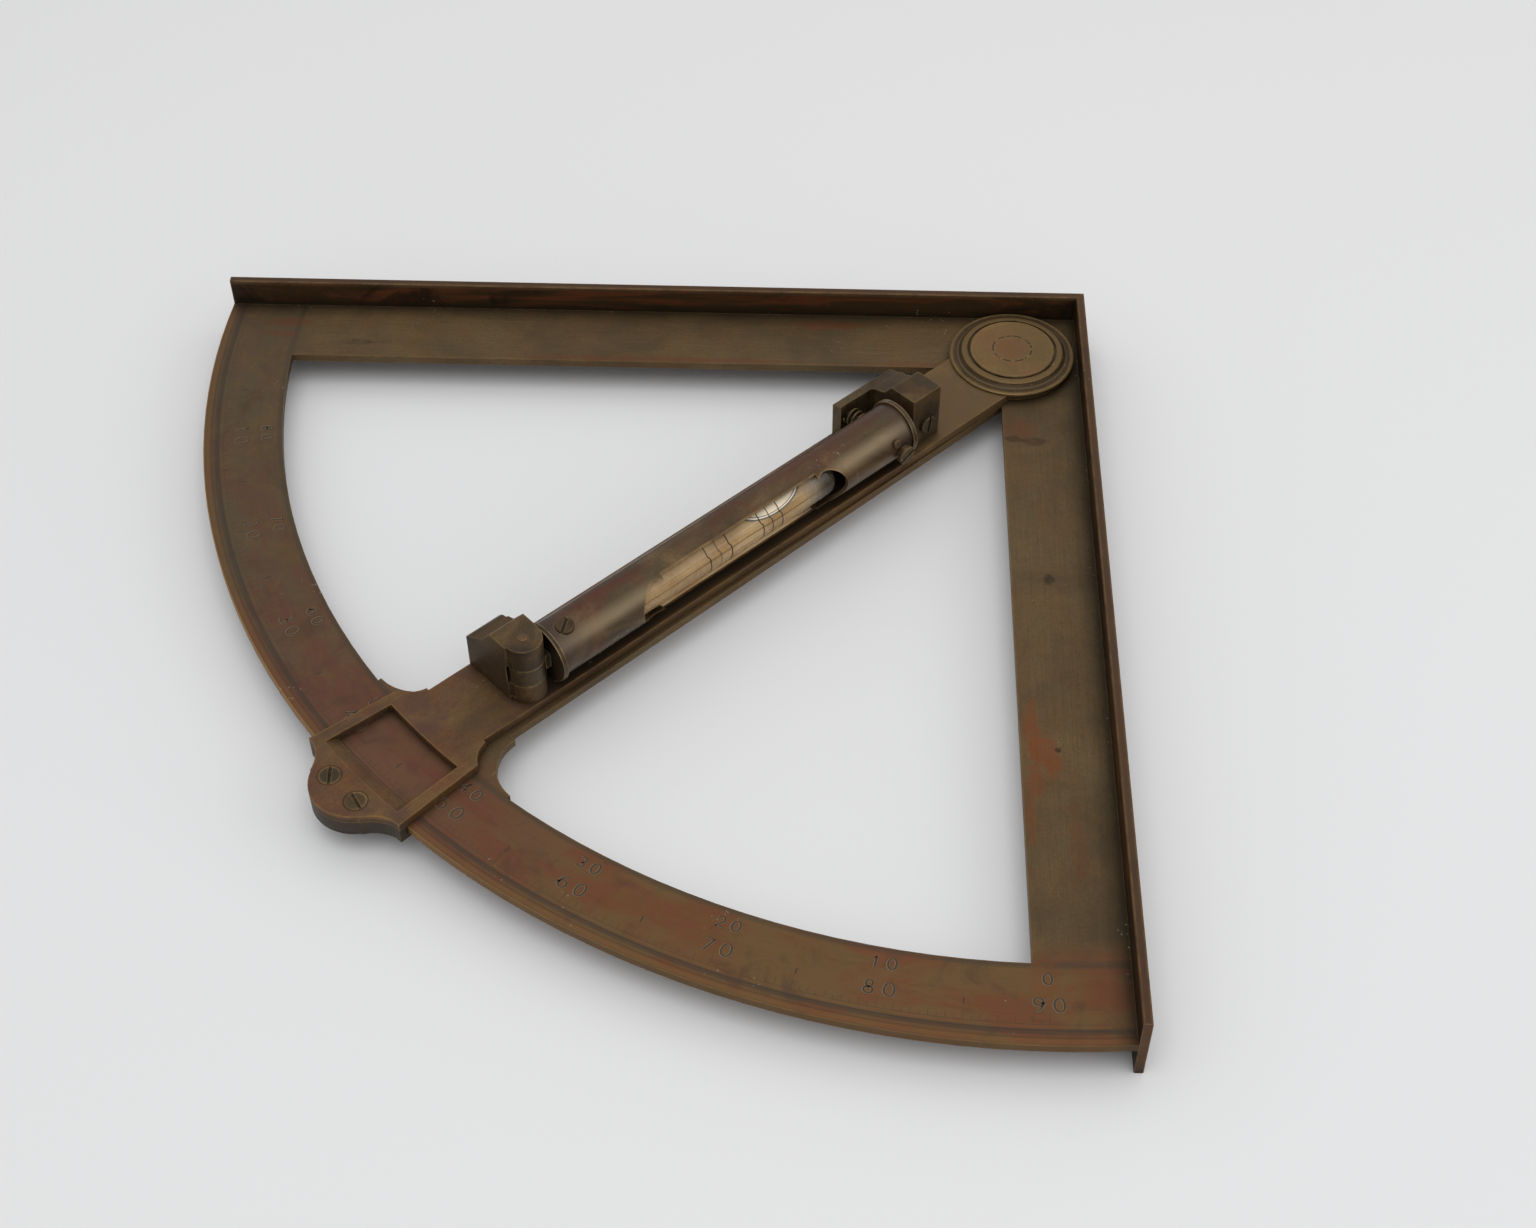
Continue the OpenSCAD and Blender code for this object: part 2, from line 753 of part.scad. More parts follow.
// Points of the spring: rings of 6 round a helix with 8 rings a turn
spring_sides = 6;
spring_rings = floor(spring_turns * 8);
function helix(i) =
    let (t = i / spring_rings)
    [spring_r * cos(360 * spring_turns * t), spring_r * sin(360 * spring_turns * t),
        (spring_to - spring_from) * t];
function helix_ring(i) =
    let (a = 360 * spring_turns * i / spring_rings, c = helix(i))
    [for (k = [0 : spring_sides - 1])
        let (b = 360 * k / spring_sides, w = spring_wire_r * cos(b))
        [c.x + w * cos(a), c.y + w * sin(a), c.z + spring_wire_r * sin(b)]];
spring_points = [for (i = [0 : spring_rings]) each helix_ring(i)];
spring_faces = [
    for (i = [0 : spring_rings - 1], k = [0 : spring_sides - 1])
        let (a = i * spring_sides + k, b = i * spring_sides + (k + 1) % spring_sides,
            c = a + spring_sides, d = b + spring_sides)
        each [[a, b, d], [a, d, c]],
    for (k = [1 : spring_sides - 2])
        each [[0, k + 1, k], let (e = spring_rings * spring_sides) [e, e + k, e + k + 1]]];
// Least gap between the spring's turns, from points over half a turn apart
spring_gap = min([for (i = [0 : spring_rings], j = [0 : spring_rings]) if (j > i + 4)
    norm(helix(j) - helix(i))]) - 2 * spring_wire_r;
echo(least_spring_gap = spring_gap);

module adjuster_spring() {
    color(steel)
        on_arm()
            translate([adjust_u, spring_from, adjust_z])
                rotate([-90, 0, 0])
                    polyhedron(points = spring_points, faces = spring_faces);
}

// The window's outline seen from the arm's near side: a broad slot with a round end past each of its ends
module window_outline() {
    square([window_l, window_h], center = true);
    for (side = [-1, 1])
        translate([side * (window_l / 2 + window_end_in), 0])
            circle(r = window_end_r);
}

// A hole across the tube and its plug for the adjusting screw
module adjuster_way() {
    on_arm()
        translate([adjust_u, level_v + 2 * tube_r, adjust_z])
            rotate([90, 0, 0])
                cylinder(r = adjust_r + swing_gap, h = 4 * tube_r);
}

// The place of the screw on the tube's top, Z pointing up
module at_top_screw() {
    on_arm()
        translate([tube_end - plug_depth * 0.41, level_v, level_z])
            rotate([-12.6, 0, 0])
                translate([0, 0, tube_r])
                    children();
}

// The place of the small screw on the tube's near side, Z pointing out
module at_side_screw() {
    on_arm()
        translate([adjust_u + 2, level_v, level_z])
            rotate([-69, 0, 0])
                translate([0, 0, tube_r])
                    children();
}

module level_tube() {
    color(brass)
        difference() {
            on_level(tube_start)
                difference() {
                    cylinder(r = tube_r, h = tube_end - tube_start);
                    translate([0, 0, -1])
                        cylinder(r = bore_r, h = tube_end - tube_start + 2);
                }
            on_arm()
                translate([window_mid, level_v + 2 * tube_r, level_z])
                    rotate([90, 0, 0])
                        linear_extrude(2 * tube_r)
                            window_outline();
            adjuster_way();
            at_top_screw()
                translate([0, 0, -tube_wall * 3])
                    cylinder(r = base_screw_r + fit, h = tube_wall * 4);
            at_top_screw()
                translate([0, 0, -tube_wall * 0.5])
                    cylinder(r = top_screw_r + fit, h = tube_wall * 2);
            at_side_screw()
                translate([0, 0, -tube_wall * 2])
                    cylinder(r = side_screw_r / 2 + fit, h = tube_wall * 4);
        }
}

module hinge_plug() {
    color(brass)
        difference() {
            union() {
                on_level(tube_end)
                    cylinder(r = flange_r, h = flange_t);
                on_level(tube_end - plug_depth)
                    cylinder(r = bore_r - fit, h = plug_depth + eps);
                on_arm() {
                    translate([tube_end, level_v - tongue_w / 2, level_z - tongue_h / 2])
                        cube([hinge_u - tube_end, tongue_w, tongue_h]);
                    translate([hinge_u, level_v, level_z - knuckle_h / 2])
                        cylinder(r = knuckle_r, h = knuckle_h);
                }
            }
            on_arm()
                translate([hinge_u, level_v, level_z - knuckle_h])
                    cylinder(r = hinge_pin_r + run, h = 2 * knuckle_h);
            at_top_screw()
                translate([0, 0, -tube_wall - 3])
                    cylinder(r = base_screw_r + fit, h = 6);
        }
}

module adjuster_plug() {
    color(brass)
        difference() {
            union() {
                on_level(tube_start - flange_t)
                    cylinder(r = flange_r, h = flange_t);
                on_level(tube_start - eps)
                    cylinder(r = bore_r - fit, h = plug_depth + eps);
            }
            adjuster_way();
            at_side_screw()
                translate([0, 0, -tube_wall - 2])
                    cylinder(r = side_screw_r / 2 + fit, h = 6);
        }
}

module hinge_plug_screw() {
    color(steel)
        at_top_screw()
            translate([0, 0, -tube_wall * 0.5])
                cheese_screw(top_screw_r, tube_wall * 0.5 + top_screw_rise, base_screw_r, 3, 35);
}

module adjuster_plug_screw() {
    color(steel)
        at_side_screw() {
            translate([0, 0, -tube_wall - 1.5])
                cylinder(r = side_screw_r / 2, h = tube_wall + 1.5 + eps);
            translate([0, 0, 0.1])
                cylinder(r = side_screw_r, h = side_screw_rise - 0.3);
            translate([0, 0, side_screw_rise - 0.2])
                cylinder(r1 = side_screw_r, r2 = side_screw_r * 0.6, h = 0.2);
            cylinder(r = side_screw_r / 2, h = 0.2);
        }
}

// The closed outline of a round-ended vial of radius r and length l, from the axis outward
module vial_body(r, l) {
    rotate_extrude()
        polygon([[0, 0], [r * 0.5, 0], [r * 0.78, r * 0.12], [r * 0.94, r * 0.32], [r, r * 0.6],
            [r, l - r * 0.6], [r * 0.94, l - r * 0.32], [r * 0.78, l - r * 0.12], [r * 0.5, l], [0, l]]);
}

spirit_r = vial_r - vial_wall;

module vial_glass() {
    color("#d8e4dc", 0.35)
        on_level(vial_start)
            difference() {
                vial_body(vial_r, vial_l);
                translate([0, 0, vial_wall])
                    vial_body(spirit_r, vial_l - 2 * vial_wall);
            }
}

// The bubble at the highest side of the vial, as it lies flat
module bubble_body(grow) {
    on_arm()
        translate([bubble_u - bubble_l / 2 - grow, level_v, level_z + spirit_r - bubble_r - 0.15])
            rotate([0, 90, 0])
                vial_body(bubble_r + grow, bubble_l + 2 * grow);
}

module vial_spirit() {
    color("#e6dfb8", 0.4)
        difference() {
            on_level(vial_start + vial_wall + fit)
                vial_body(spirit_r - fit, vial_l - 2 * vial_wall - 2 * fit);
            bubble_body(fit);
        }
}

module vial_bubble() {
    color("#ffffff", 0.3)
        bubble_body(0);
}

// A lining of the bore's far half, away from the window, from u = start
module far_lining(start, l) {
    on_level(start + fit)
        difference() {
            cylinder(r = bore_r - fit, h = l - 2 * fit);
            translate([0, 0, -1])
                cylinder(r = vial_r + fit, h = l + 2);
            translate([-tube_r, 0, -1])
                cube([2 * tube_r, tube_r, l + 2]);
        }
}

module vial_backing() {
    color("#e8dcc0")
        far_lining(vial_start + packing_l, vial_l - 2 * packing_l);
}

module vial_packing() {
    color("#e8dcc0") {
        far_lining(vial_start, packing_l);
        far_lining(vial_start + vial_l - packing_l, packing_l);
    }
}

quadrant_plate();
edge_bar_x();
edge_bar_y();
index_arm();
pivot_cap();
pivot_pin();
pivot_washer();
pivot_spring_washer();
pivot_nut();
limb_block();
keeper_plate();
index_screws();
hinge_bracket();
hinge_pin();
hinge_bracket_screws();
adjuster_bracket();
adjuster_bracket_screws();
post_screw();
adjuster_spring();
adjuster_screw();
level_tube();
hinge_plug();
adjuster_plug();
hinge_plug_screw();
adjuster_plug_screw();
vial_glass();
vial_spirit();
vial_bubble();
vial_backing();
vial_packing();
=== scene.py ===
"""Looks of a quadrant clinometer: old lacquered brass, engraved scale, spirit vial, floor, light and camera.

Metres, in the frame of the CAD model: the heel corner of the two edge bars is the origin, X and Y run
along the bars and Z is up. Places on the arm are written in millimetres as u outward from the pivot,
v across the arm and z above the bars' lower edges.
"""
import math

import bpy
import numpy as np
from mathutils import Matrix, Vector


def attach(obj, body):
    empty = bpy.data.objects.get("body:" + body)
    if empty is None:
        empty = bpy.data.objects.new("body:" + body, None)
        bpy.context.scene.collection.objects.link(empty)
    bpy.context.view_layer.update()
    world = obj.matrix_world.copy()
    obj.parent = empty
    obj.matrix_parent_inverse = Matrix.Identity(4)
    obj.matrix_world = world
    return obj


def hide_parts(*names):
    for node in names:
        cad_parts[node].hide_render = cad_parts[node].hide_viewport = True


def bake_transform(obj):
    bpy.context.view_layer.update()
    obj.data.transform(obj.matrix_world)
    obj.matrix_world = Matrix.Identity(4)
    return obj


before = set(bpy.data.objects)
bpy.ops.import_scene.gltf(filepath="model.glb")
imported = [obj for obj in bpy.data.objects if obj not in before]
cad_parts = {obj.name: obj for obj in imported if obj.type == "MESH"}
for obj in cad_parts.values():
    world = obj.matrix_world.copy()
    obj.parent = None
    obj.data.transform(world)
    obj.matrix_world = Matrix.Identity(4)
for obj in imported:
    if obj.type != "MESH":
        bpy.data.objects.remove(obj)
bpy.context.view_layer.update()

MM = 0.001
ARM_ANGLE = 44.55  # degrees from the X bar to the arm at rest

# Millimetres
PIVOT = 17.4  # the pivot's x and y
PLATE_TOP = 9.2
CAP_TOP = 13.25
LEVEL_V, LEVEL_Z = 4.7, 18.6  # the level's axis
VIAL_R = 4.5
WINDOW = (70.9, 113.9)  # u of the ends of the tube's window
BUBBLE_U = 82.5  # the bubble's middle
ADJUST_U, ADJUST_Z = 46.7, LEVEL_Z - 1.45  # the adjusting screw's axis
SPRING_FROM, SPRING_TO = -6.07, -1.68  # v of its spring's ends, at the bracket's wall and at the tube
LOBE_SCREWS = ((190.00, 4.35), (190.00, -4.35))  # u and v of the two screws in the arm's lobe
LIMB_FROM = 166.0  # inner radius of the limb
ROWS = (177.6, 172.0)  # radii of the outer and the inner row of numbers
FIVES = (177.0, 178.4)  # inner and outer radius of the marks at 5, 15, 25 degrees and so on
DIVISIONS_TO = 181.7  # outer radius of the divisions
BORDERS = (182.85, 181.75)  # inner radii of the two border lines, outside the divisions
BEVEL_R, BEVEL_Z, BEVEL_RISE = 183.1, 9.65, 1.55 / 3  # foot of the window's bevel and its rise for each mm


# Places

def on_arm(u, v, z):
    """Point u, v, z of the arm at rest, in metres: the pivot plus u and v along the arm's two axes."""
    a = math.radians(ARM_ANGLE)
    u, v, z = np.broadcast_arrays(np.asarray(u, float), np.asarray(v, float), np.asarray(z, float))
    x = PIVOT + u * math.cos(a) - v * math.sin(a)
    y = PIVOT + u * math.sin(a) + v * math.cos(a)
    return np.stack([x, y, z], -1) * MM


def on_plate(r, degrees, z):
    """Point at radius r and angle degrees about the pivot, in metres: pivot + r (cos, sin)."""
    t = np.radians(degrees)
    r, t, z = np.broadcast_arrays(np.asarray(r, float), t, np.asarray(z, float))
    return np.stack([PIVOT + r * np.cos(t), PIVOT + r * np.sin(t), z], -1) * MM


def on_arm_round(r, degrees, z):
    """Point at radius r and angle degrees from the arm's centre line, about the pivot."""
    t = np.radians(degrees)
    return on_arm(r * np.cos(t), r * np.sin(t), z)


def on_vial(u, degrees, r):
    """Point of a cylinder of radius r about the level's axis: v and z from the angle above the near side."""
    t = np.radians(degrees)
    return on_arm(u, LEVEL_V + r * np.cos(t), LEVEL_Z + r * np.sin(t))


# Meshes

def add_object(name, data):
    """An object linked to the scene."""
    thing = bpy.data.objects.new(name, data)
    bpy.context.scene.collection.objects.link(thing)
    return thing


def mesh_piece(name, points, faces, body, material, smooth=False):
    """A mesh from points (n, 3) and faces (m, corners), riding on a body if one is named."""
    mesh = bpy.data.meshes.new(name)
    mesh.from_pydata(np.asarray(points).reshape(-1, 3).tolist(), [], np.asarray(faces).tolist())
    mesh.materials.append(material)
    if smooth:
        mesh.shade_smooth()
    piece = add_object(name, mesh)
    if body:
        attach(piece, body)
    return piece


def bar_faces(count):
    """Faces of count closed boxes of 8 corners each: corners 0-3 below, 4-7 above, all turning left."""
    box = np.array([[0, 3, 2, 1], [4, 5, 6, 7], [0, 1, 5, 4], [1, 2, 6, 5], [2, 3, 7, 6], [3, 0, 4, 7]])
    return (8 * np.arange(count)[:, None, None] + box).reshape(-1, 4)


def radial_marks(degrees, inner, outer, width, low, high):
    """Thin boxes on the plate: corners at angle plus or minus width / 2r, radii inner, outer, z low, high."""
    degrees, inner, outer = np.broadcast_arrays(*(np.asarray(x, float) for x in (degrees, inner, outer)))
    r = np.stack([inner, outer, outer, inner], -1)
    half = np.degrees(0.5 * width / r) * np.array([-1, -1, 1, 1])
    corners = [on_plate(r, degrees[:, None] + half, z) for z in (low, high)]
    return np.concatenate(corners, 1).reshape(-1, 3), bar_faces(len(degrees))


def ring_band(inner, outer, start, end, z, steps):
    """A flat band on the plate between two radii, with points at steps + 1 angles from start to end."""
    t = np.linspace(start, end, steps + 1)
    points = np.concatenate([on_plate(inner, t, z), on_plate(outer, t, z)])
    k = np.arange(steps)
    return points, np.stack([k, k + steps + 1, k + steps + 2, k + 1], -1)


def stroke(path, thick, thin):
    """A ribbon along a path (n, 2): its width is thin plus (thick - thin) times the run's upright share."""
    path = np.asarray(path, float)
    run = np.gradient(path, axis=0)
    length = np.maximum(np.hypot(run[:, 0], run[:, 1]), 1e-9)
    run = run / length[:, None]
    half = 0.5 * (thin + (thick - thin) * np.abs(run[:, 1]))
    side = np.stack([-run[:, 1], run[:, 0]], -1) * half[:, None]
    return path - side, path + side


def arc(cx, cy, rx, ry, start, end, count=14):
    """Points of an ellipse's arc: centre plus (rx cos t, ry sin t) for t from start to end degrees."""
    t = np.radians(np.linspace(start, end, count))
    return np.stack([cx + rx * np.cos(t), cy + ry * np.sin(t)], -1)


def line(*points):
    """Points along straight runs between the given ones: a + (b - a) t, five to a run."""
    points = np.asarray(points, float)
    t = np.linspace(0, 1, 5)[:, None]
    return np.concatenate([a + (b - a) * t for a, b in zip(points[:-1], points[1:])])


# Strokes of the engraver's numerals, one unit high about their middle
NUMERALS = {
    "0": [arc(0, 0, 0.33, 0.5, 0, 360, 26)],
    "1": [line((0, -0.5), (0, 0.5)), line((-0.14, 0.36), (0, 0.48))],
    "2": [np.concatenate([arc(0, 0.22, 0.27, 0.28, 165, -35, 14), line((0.2, 0.02), (-0.3, -0.47))]),
          line((-0.3, -0.47), (0.32, -0.47))],
    "3": [arc(-0.02, 0.25, 0.25, 0.25, 150, -90), arc(-0.02, -0.24, 0.3, 0.26, 90, -150)],
    "4": [line((0.12, -0.5), (0.12, 0.5)), line((0.12, 0.5), (-0.34, -0.2)),
          line((-0.34, -0.2), (0.34, -0.2))],
    "5": [line((0.26, 0.47), (-0.18, 0.47)), line((-0.18, 0.47), (-0.22, 0.06)),
          arc(-0.03, -0.19, 0.3, 0.31, 125, -150, 16)],
    "6": [arc(0, -0.21, 0.29, 0.29, 0, 360, 20), arc(0.3, -0.2, 0.6, 0.7, 105, 180, 12)],
    "7": [line((-0.3, 0.46), (0.32, 0.46)), line((0.32, 0.46), (-0.1, -0.5))],
    "8": [arc(0, 0.25, 0.23, 0.24, 0, 360, 18), arc(0, -0.24, 0.29, 0.26, 0, 360, 20)],
    "9": [arc(0, 0.21, 0.29, 0.29, 0, 360, 20), arc(-0.3, 0.2, 0.6, 0.7, -75, 0, 12)],
}


def engraved_numbers(numbers, r, height, gap, thick, thin, shift, z):
    """Ribbons of the numbers' strokes: a stroke's x runs round the pivot at radius r and its y towards it."""
    points, faces, count = [], [], 0
    for value, degrees in numbers:
        text = str(value)
        for i, digit in enumerate(text):
            dx = (i - (len(text) - 1) / 2) * gap
            for path in NUMERALS[digit]:
                left, right = stroke(np.asarray(path) * height, thick, thin)
                edge = np.concatenate([left, right]) + [dx + shift[0], shift[1]]
                points.append(on_plate(r - edge[:, 1], degrees + np.degrees(edge[:, 0] / r), z))
                n = len(left)
                k = np.arange(n - 1)
                faces.append(count + np.stack([k, k + 1, k + n + 1, k + n], -1))
                count += 2 * n
    return np.concatenate(points), np.concatenate(faces)


# Materials

def srgb(r, g, b):
    """Linear colour of an 8-bit screen colour: ((c + 0.055) / 1.055) ^ 2.4 above the toe."""
    c = np.array([r, g, b]) / 255
    return tuple(float(x) for x in np.where(c <= 0.04045, c / 12.92, ((c + 0.055) / 1.055) ** 2.4))


class Finish:
    """A node material: most methods add nodes and give back their output."""

    def __init__(self, name):
        self.material = bpy.data.materials.new(name)
        self.material.use_nodes = True
        self.tree = self.material.node_tree
        self.shader = self.tree.nodes["Principled BSDF"]
        self.place = self.tree.nodes.new("ShaderNodeTexCoord").outputs["Object"]

    def put(self, socket, value):
        """Link a socket to an input, or set the input's constant value."""
        if isinstance(value, bpy.types.NodeSocket):
            self.tree.links.new(value, socket)
        elif socket.type == "RGBA":
            socket.default_value = (*value[:3], 1)
        else:
            socket.default_value = value

    def surface(self, **inputs):
        """Put the shader's inputs, with _ for each space in their names."""
        for key, value in inputs.items():
            self.put(self.shader.inputs[key.replace("_", " ")], value)

    def node(self, kind, inputs=None, output=0, **settings):
        """One output of a new node, with its settings set and its inputs put."""
        n = self.tree.nodes.new(kind)
        for key, value in settings.items():
            setattr(n, key, value)
        for key, value in (inputs or {}).items():
            self.put(n.inputs[key], value)
        return n.outputs[output]

    def map(self, scale=(1, 1, 1), shift=(0, 0, 0)):
        """The place times a scale for each axis, plus a shift."""
        return self.node("ShaderNodeMapping", {"Vector": self.place, "Scale": scale, "Location": shift})

    def noise(self, scale, detail, rough=0.55, twist=0.0, place=None):
        """Fractal noise about 0.5, with scale spots to a metre of the place."""
        return self.node("ShaderNodeTexNoise", {"Vector": place or self.place, "Scale": scale,
                                                "Detail": detail, "Roughness": rough, "Distortion": twist})

    def ramp(self, value, low, high, out_low=0.0, out_high=1.0):
        """out_low up to low, out_high from high on, and straight between them."""
        return self.node("ShaderNodeMapRange", {"Value": value, "From Min": low, "From Max": high,
                                                "To Min": out_low, "To Max": out_high}, clamp=True)

    def math(self, kind, a, b=0.0):
        """A sum, product or other operation of one value or two."""
        return self.node("ShaderNodeMath", {0: a, 1: b}, operation=kind)

    def times(self, a, b, *more):
        """Product of two values or more."""
        product = self.math("MULTIPLY", a, b)
        return self.times(product, *more) if more else product

    def off(self, value, middle):
        """How far a value is from the middle one."""
        return self.math("ABSOLUTE", self.math("SUBTRACT", value, middle))

    def mix(self, share, a, b, kind="RGBA"):
        """Colour a where share is 0 and b where it is 1; with kind VECTOR the same for places."""
        n = self.tree.nodes.new("ShaderNodeMix")
        n.data_type = kind
        first, output = (6, 2) if kind == "RGBA" else (4, 1)
        for socket, value in ((0, share), (first, a), (first + 1, b)):
            self.put(n.inputs[socket], value)
        return n.outputs[output]

    def axis(self, which):
        """X, Y or Z of the place, in metres."""
        return self.node("ShaderNodeSeparateXYZ", {0: self.place}, which)

    def from_pivot(self):
        """x and y from the pivot, in metres."""
        return [self.math("SUBTRACT", self.axis(i), PIVOT * MM) for i in (0, 1)]

    def length(self, x, y):
        """Root of the sum of two squares."""
        return self.math("SQRT", self.math("ADD", self.times(x, x), self.times(y, y)))

    def arm_axes(self):
        """u and v of the arm at rest, in millimetres."""
        x, y = (self.times(d, 1000.0) for d in self.from_pivot())
        c, s = math.cos(math.radians(ARM_ANGLE)), math.sin(math.radians(ARM_ANGLE))
        u = self.math("ADD", self.times(x, c), self.times(y, s))
        v = self.math("SUBTRACT", self.times(y, c), self.times(x, s))
        return u, v

    def along_arm(self, along, across, up):
        """The arm's u, v and z as a place for noise, each at its own scale per millimetre."""
        u, v = self.arm_axes()
        return self.node("ShaderNodeCombineXYZ", {0: self.times(u, along), 1: self.times(v, across),
                                                  2: self.times(self.axis(2), up * 1000.0)})

    def angle(self):
        """Angle about the pivot from the X bar, in degrees."""
        x, y = self.from_pivot()
        return self.times(self.math("ARCTAN2", y, x), 180 / math.pi)

    def radius(self):
        """Distance from the pivot's axis, in millimetres."""
        return self.times(self.length(*self.from_pivot()), 1000.0)

    def polar(self, along_r, along_arc):
        """Radius in millimetres and angle in degrees as a place for noise, each at its own scale."""
        return self.node("ShaderNodeCombineXYZ", {0: self.times(self.radius(), along_r),
                                                  1: self.times(self.angle(), along_arc)})

    def along_bars(self, along=0.07, across=2.6):
        """A place for noise drawn out along the nearer bar: the X bar where x is the greater."""
        beside_y = self.math("GREATER_THAN", self.axis(1), self.axis(0))
        a, b = along * 1000, across * 1000
        return self.mix(beside_y, self.map(scale=(a, b, b)), self.map(scale=(b, a, b)), "VECTOR")

    def along_plate(self):
        """A place for noise drawn out along the legs, and round the pivot on the limb."""
        on_limb = self.math("GREATER_THAN", self.radius(), LIMB_FROM)
        return self.mix(on_limb, self.along_bars(), self.polar(2.6, 0.2), "VECTOR")

    def dust(self, colour, where, share):
        """Pale specks a few tenths of a millimetre across, where the mask says."""
        cells = self.node("ShaderNodeTexVoronoi", {"Vector": self.place, "Scale": 1100.0, "Randomness": 1.0},
                          "Distance")
        size = self.ramp(self.noise(700, 2), 0.45, 0.62, 0.0, 0.26)
        speck = self.ramp(self.math("SUBTRACT", size, cells), 0.0, 0.06)
        return self.mix(self.times(speck, where, share), colour, (0.45, 0.42, 0.37))

    def ring(self, u, v, r, half, soft):
        """1 on a ring of radius r about the arm's place u, v, all in millimetres."""
        mine = self.arm_axes()
        away = self.length(self.math("SUBTRACT", mine[0], u), self.math("SUBTRACT", mine[1], v))
        return self.ramp(self.off(away, r), half + soft, half)

    def edge(self, width):
        """1 on a worn outer edge and 0 on a flat: how far a rounded normal turns from the true one."""
        rounded = self.node("ShaderNodeBevel", {"Radius": width}, samples=4)
        true = self.node("ShaderNodeNewGeometry", output="Normal")
        turn = self.node("ShaderNodeVectorMath", {0: rounded, 1: true}, "Value", operation="DOT_PRODUCT")
        return self.ramp(turn, 0.995, 0.93)

    def hollow(self, reach):
        """1 in a hollow corner and 0 in the open, within reach of the surface."""
        open_share = self.node("ShaderNodeAmbientOcclusion", {"Distance": reach}, output="AO", samples=6)
        return self.ramp(open_share, 0.85, 0.35)

    def blot(self, colour, spots, tint):
        """Stains: ellipses (x, y, half width, half length, share), ragged and patchy by noise."""
        ragged = self.times(self.math("SUBTRACT", self.noise(260, 6, 0.7, 0.6), 0.5), 2.2)
        patchy = self.ramp(self.noise(420, 4, 0.6), 0.3, 0.55, 0.5, 1.0)
        for x, y, wide, long, share in spots:
            n = self.node("ShaderNodeMapping", {"Vector": self.place, "Location": (-x / wide, -y / long, 0),
                                                "Scale": (1000 / wide, 1000 / long, 0)})
            v = self.node("ShaderNodeVectorMath", {0: n}, "Value", operation="LENGTH")
            inside = self.times(self.ramp(self.math("ADD", v, ragged), 1.15, 0.7), patchy)
            colour = self.mix(self.times(inside, share), colour, tint)
        return colour

    def bump(self, height, strength):
        """Roughen the shader's normal by a height that counts as 0.05 mm."""
        self.surface(Normal=self.node("ShaderNodeBump", {"Height": height, "Strength": strength,
                                                         "Distance": 0.05 * MM}))


def shade(colour, by):
    """A colour times one factor, or times one for each channel."""
    return tuple(float(c) for c in np.multiply(colour, by))


def drawn_arm(across):
    """Draw marks along the arm, as a choice of aged_brass's drawn."""
    return lambda f: f.along_arm(0.07, across, across)


def aged_brass(name, tone, warm, dark, gold, metallic=0.35, rough=0.5, warm_share=0.5, golden=0.45,
               drawn=Finish.along_bars, streak=0.25, wear=0.5, grime_and_shade=0.7, shift=(0, 0, 0), extra=None):
    """Old lacquered brass: drifts of a warm and a dark tone, fine draw marks, pits, worn edges, and soiling
    and painted shade in hollows.
    """
    f = Finish(name)
    place = f.map(shift=shift)
    drift = f.noise(28, 5, 0.6, 0.6, place)
    patch = f.noise(75, 6, 0.62, 0.8, place)
    bloom = f.noise(48, 6, 0.66, 1.0, f.map(shift=tuple(c + 0.31 for c in shift)))
    grain = f.noise(1500, 4, 0.65, 0.0, place)
    lines = f.noise(1.0, 5, 0.65, 0.0, drawn(f))
    colour = f.mix(f.ramp(drift, 0.4, 0.6), tone, dark)
    colour = f.mix(f.times(f.ramp(patch, 0.46, 0.62), warm_share), colour, warm)
    colour = f.mix(f.times(f.ramp(bloom, 0.5, 0.66), golden), colour, shade(gold, 0.85))
    colour = f.mix(f.times(f.ramp(bloom, 0.48, 0.34), 0.35), colour, shade(dark, (0.75, 0.8, 0.95)))
    colour = f.mix(f.times(f.ramp(lines, 0.35, 0.75), streak), colour, shade(dark, 0.6))
    colour = f.mix(f.ramp(grain, 0.46, 0.68, 0.0, 0.28), colour, shade(dark, 0.45))
    if extra:
        colour = extra(f, colour)
    # Soiling and painted shade: darker where ambient occlusion finds hollows and parts close by
    colour = f.mix(f.times(f.hollow(0.003), grime_and_shade), colour, (0.012, 0.009, 0.005))
    rubbed = f.times(f.edge(0.0005), f.ramp(f.noise(260, 3, 0.6), 0.35, 0.6, 0.25, 1.0))
    colour = f.mix(f.times(rubbed, wear), colour, gold)
    colour = f.dust(colour, f.ramp(f.noise(55, 2, 0.5), 0.62, 0.66), 0.3)
    spread = f.math("ADD", f.ramp(patch, 0.3, 0.75, rough - 0.06, rough + 0.1),
                    f.times(f.ramp(lines, 0.3, 0.7), 0.06))
    f.surface(Base_Color=colour, Metallic=metallic, Specular_IOR_Level=0.2, Roughness=spread)
    f.bump(f.math("ADD", f.times(lines, 0.5), f.times(grain, 0.6)), 0.2)
    return f.material


# Stains of the plate: x, y, half width, half length in millimetres, and share
RED_STAINS = ((17.6, 131, 1.6, 9, 0.65), (15.6, 135.5, 3.2, 4.2, 0.7), (13.9, 138.6, 1.6, 3.8, 0.7),
              (17.4, 143.5, 1.4, 5, 0.6), (18.8, 152, 0.9, 8, 0.5), (18, 189, 3, 5, 0.4))
BROWN_STAINS = ((60, 5.5, 8, 1.6, 0.6), (188, 8.3, 6, 1.8, 0.5), (190, 12.6, 5, 1.2, 0.5),
                (100, 19, 34, 1.0, 0.5), (16, 41, 5, 4, 0.45), (40, 19, 14, 1.0, 0.4), (10, 158, 2, 9, 0.35))
DARK_STAINS = ((18, 44, 2.2, 1.2, 0.6), (13, 44.5, 3, 1.4, 0.5), (12, 88, 1.2, 1.6, 0.7),
               (170, 15, 6, 1.0, 0.4), (12.6, 135, 0.7, 0.7, 0.9))
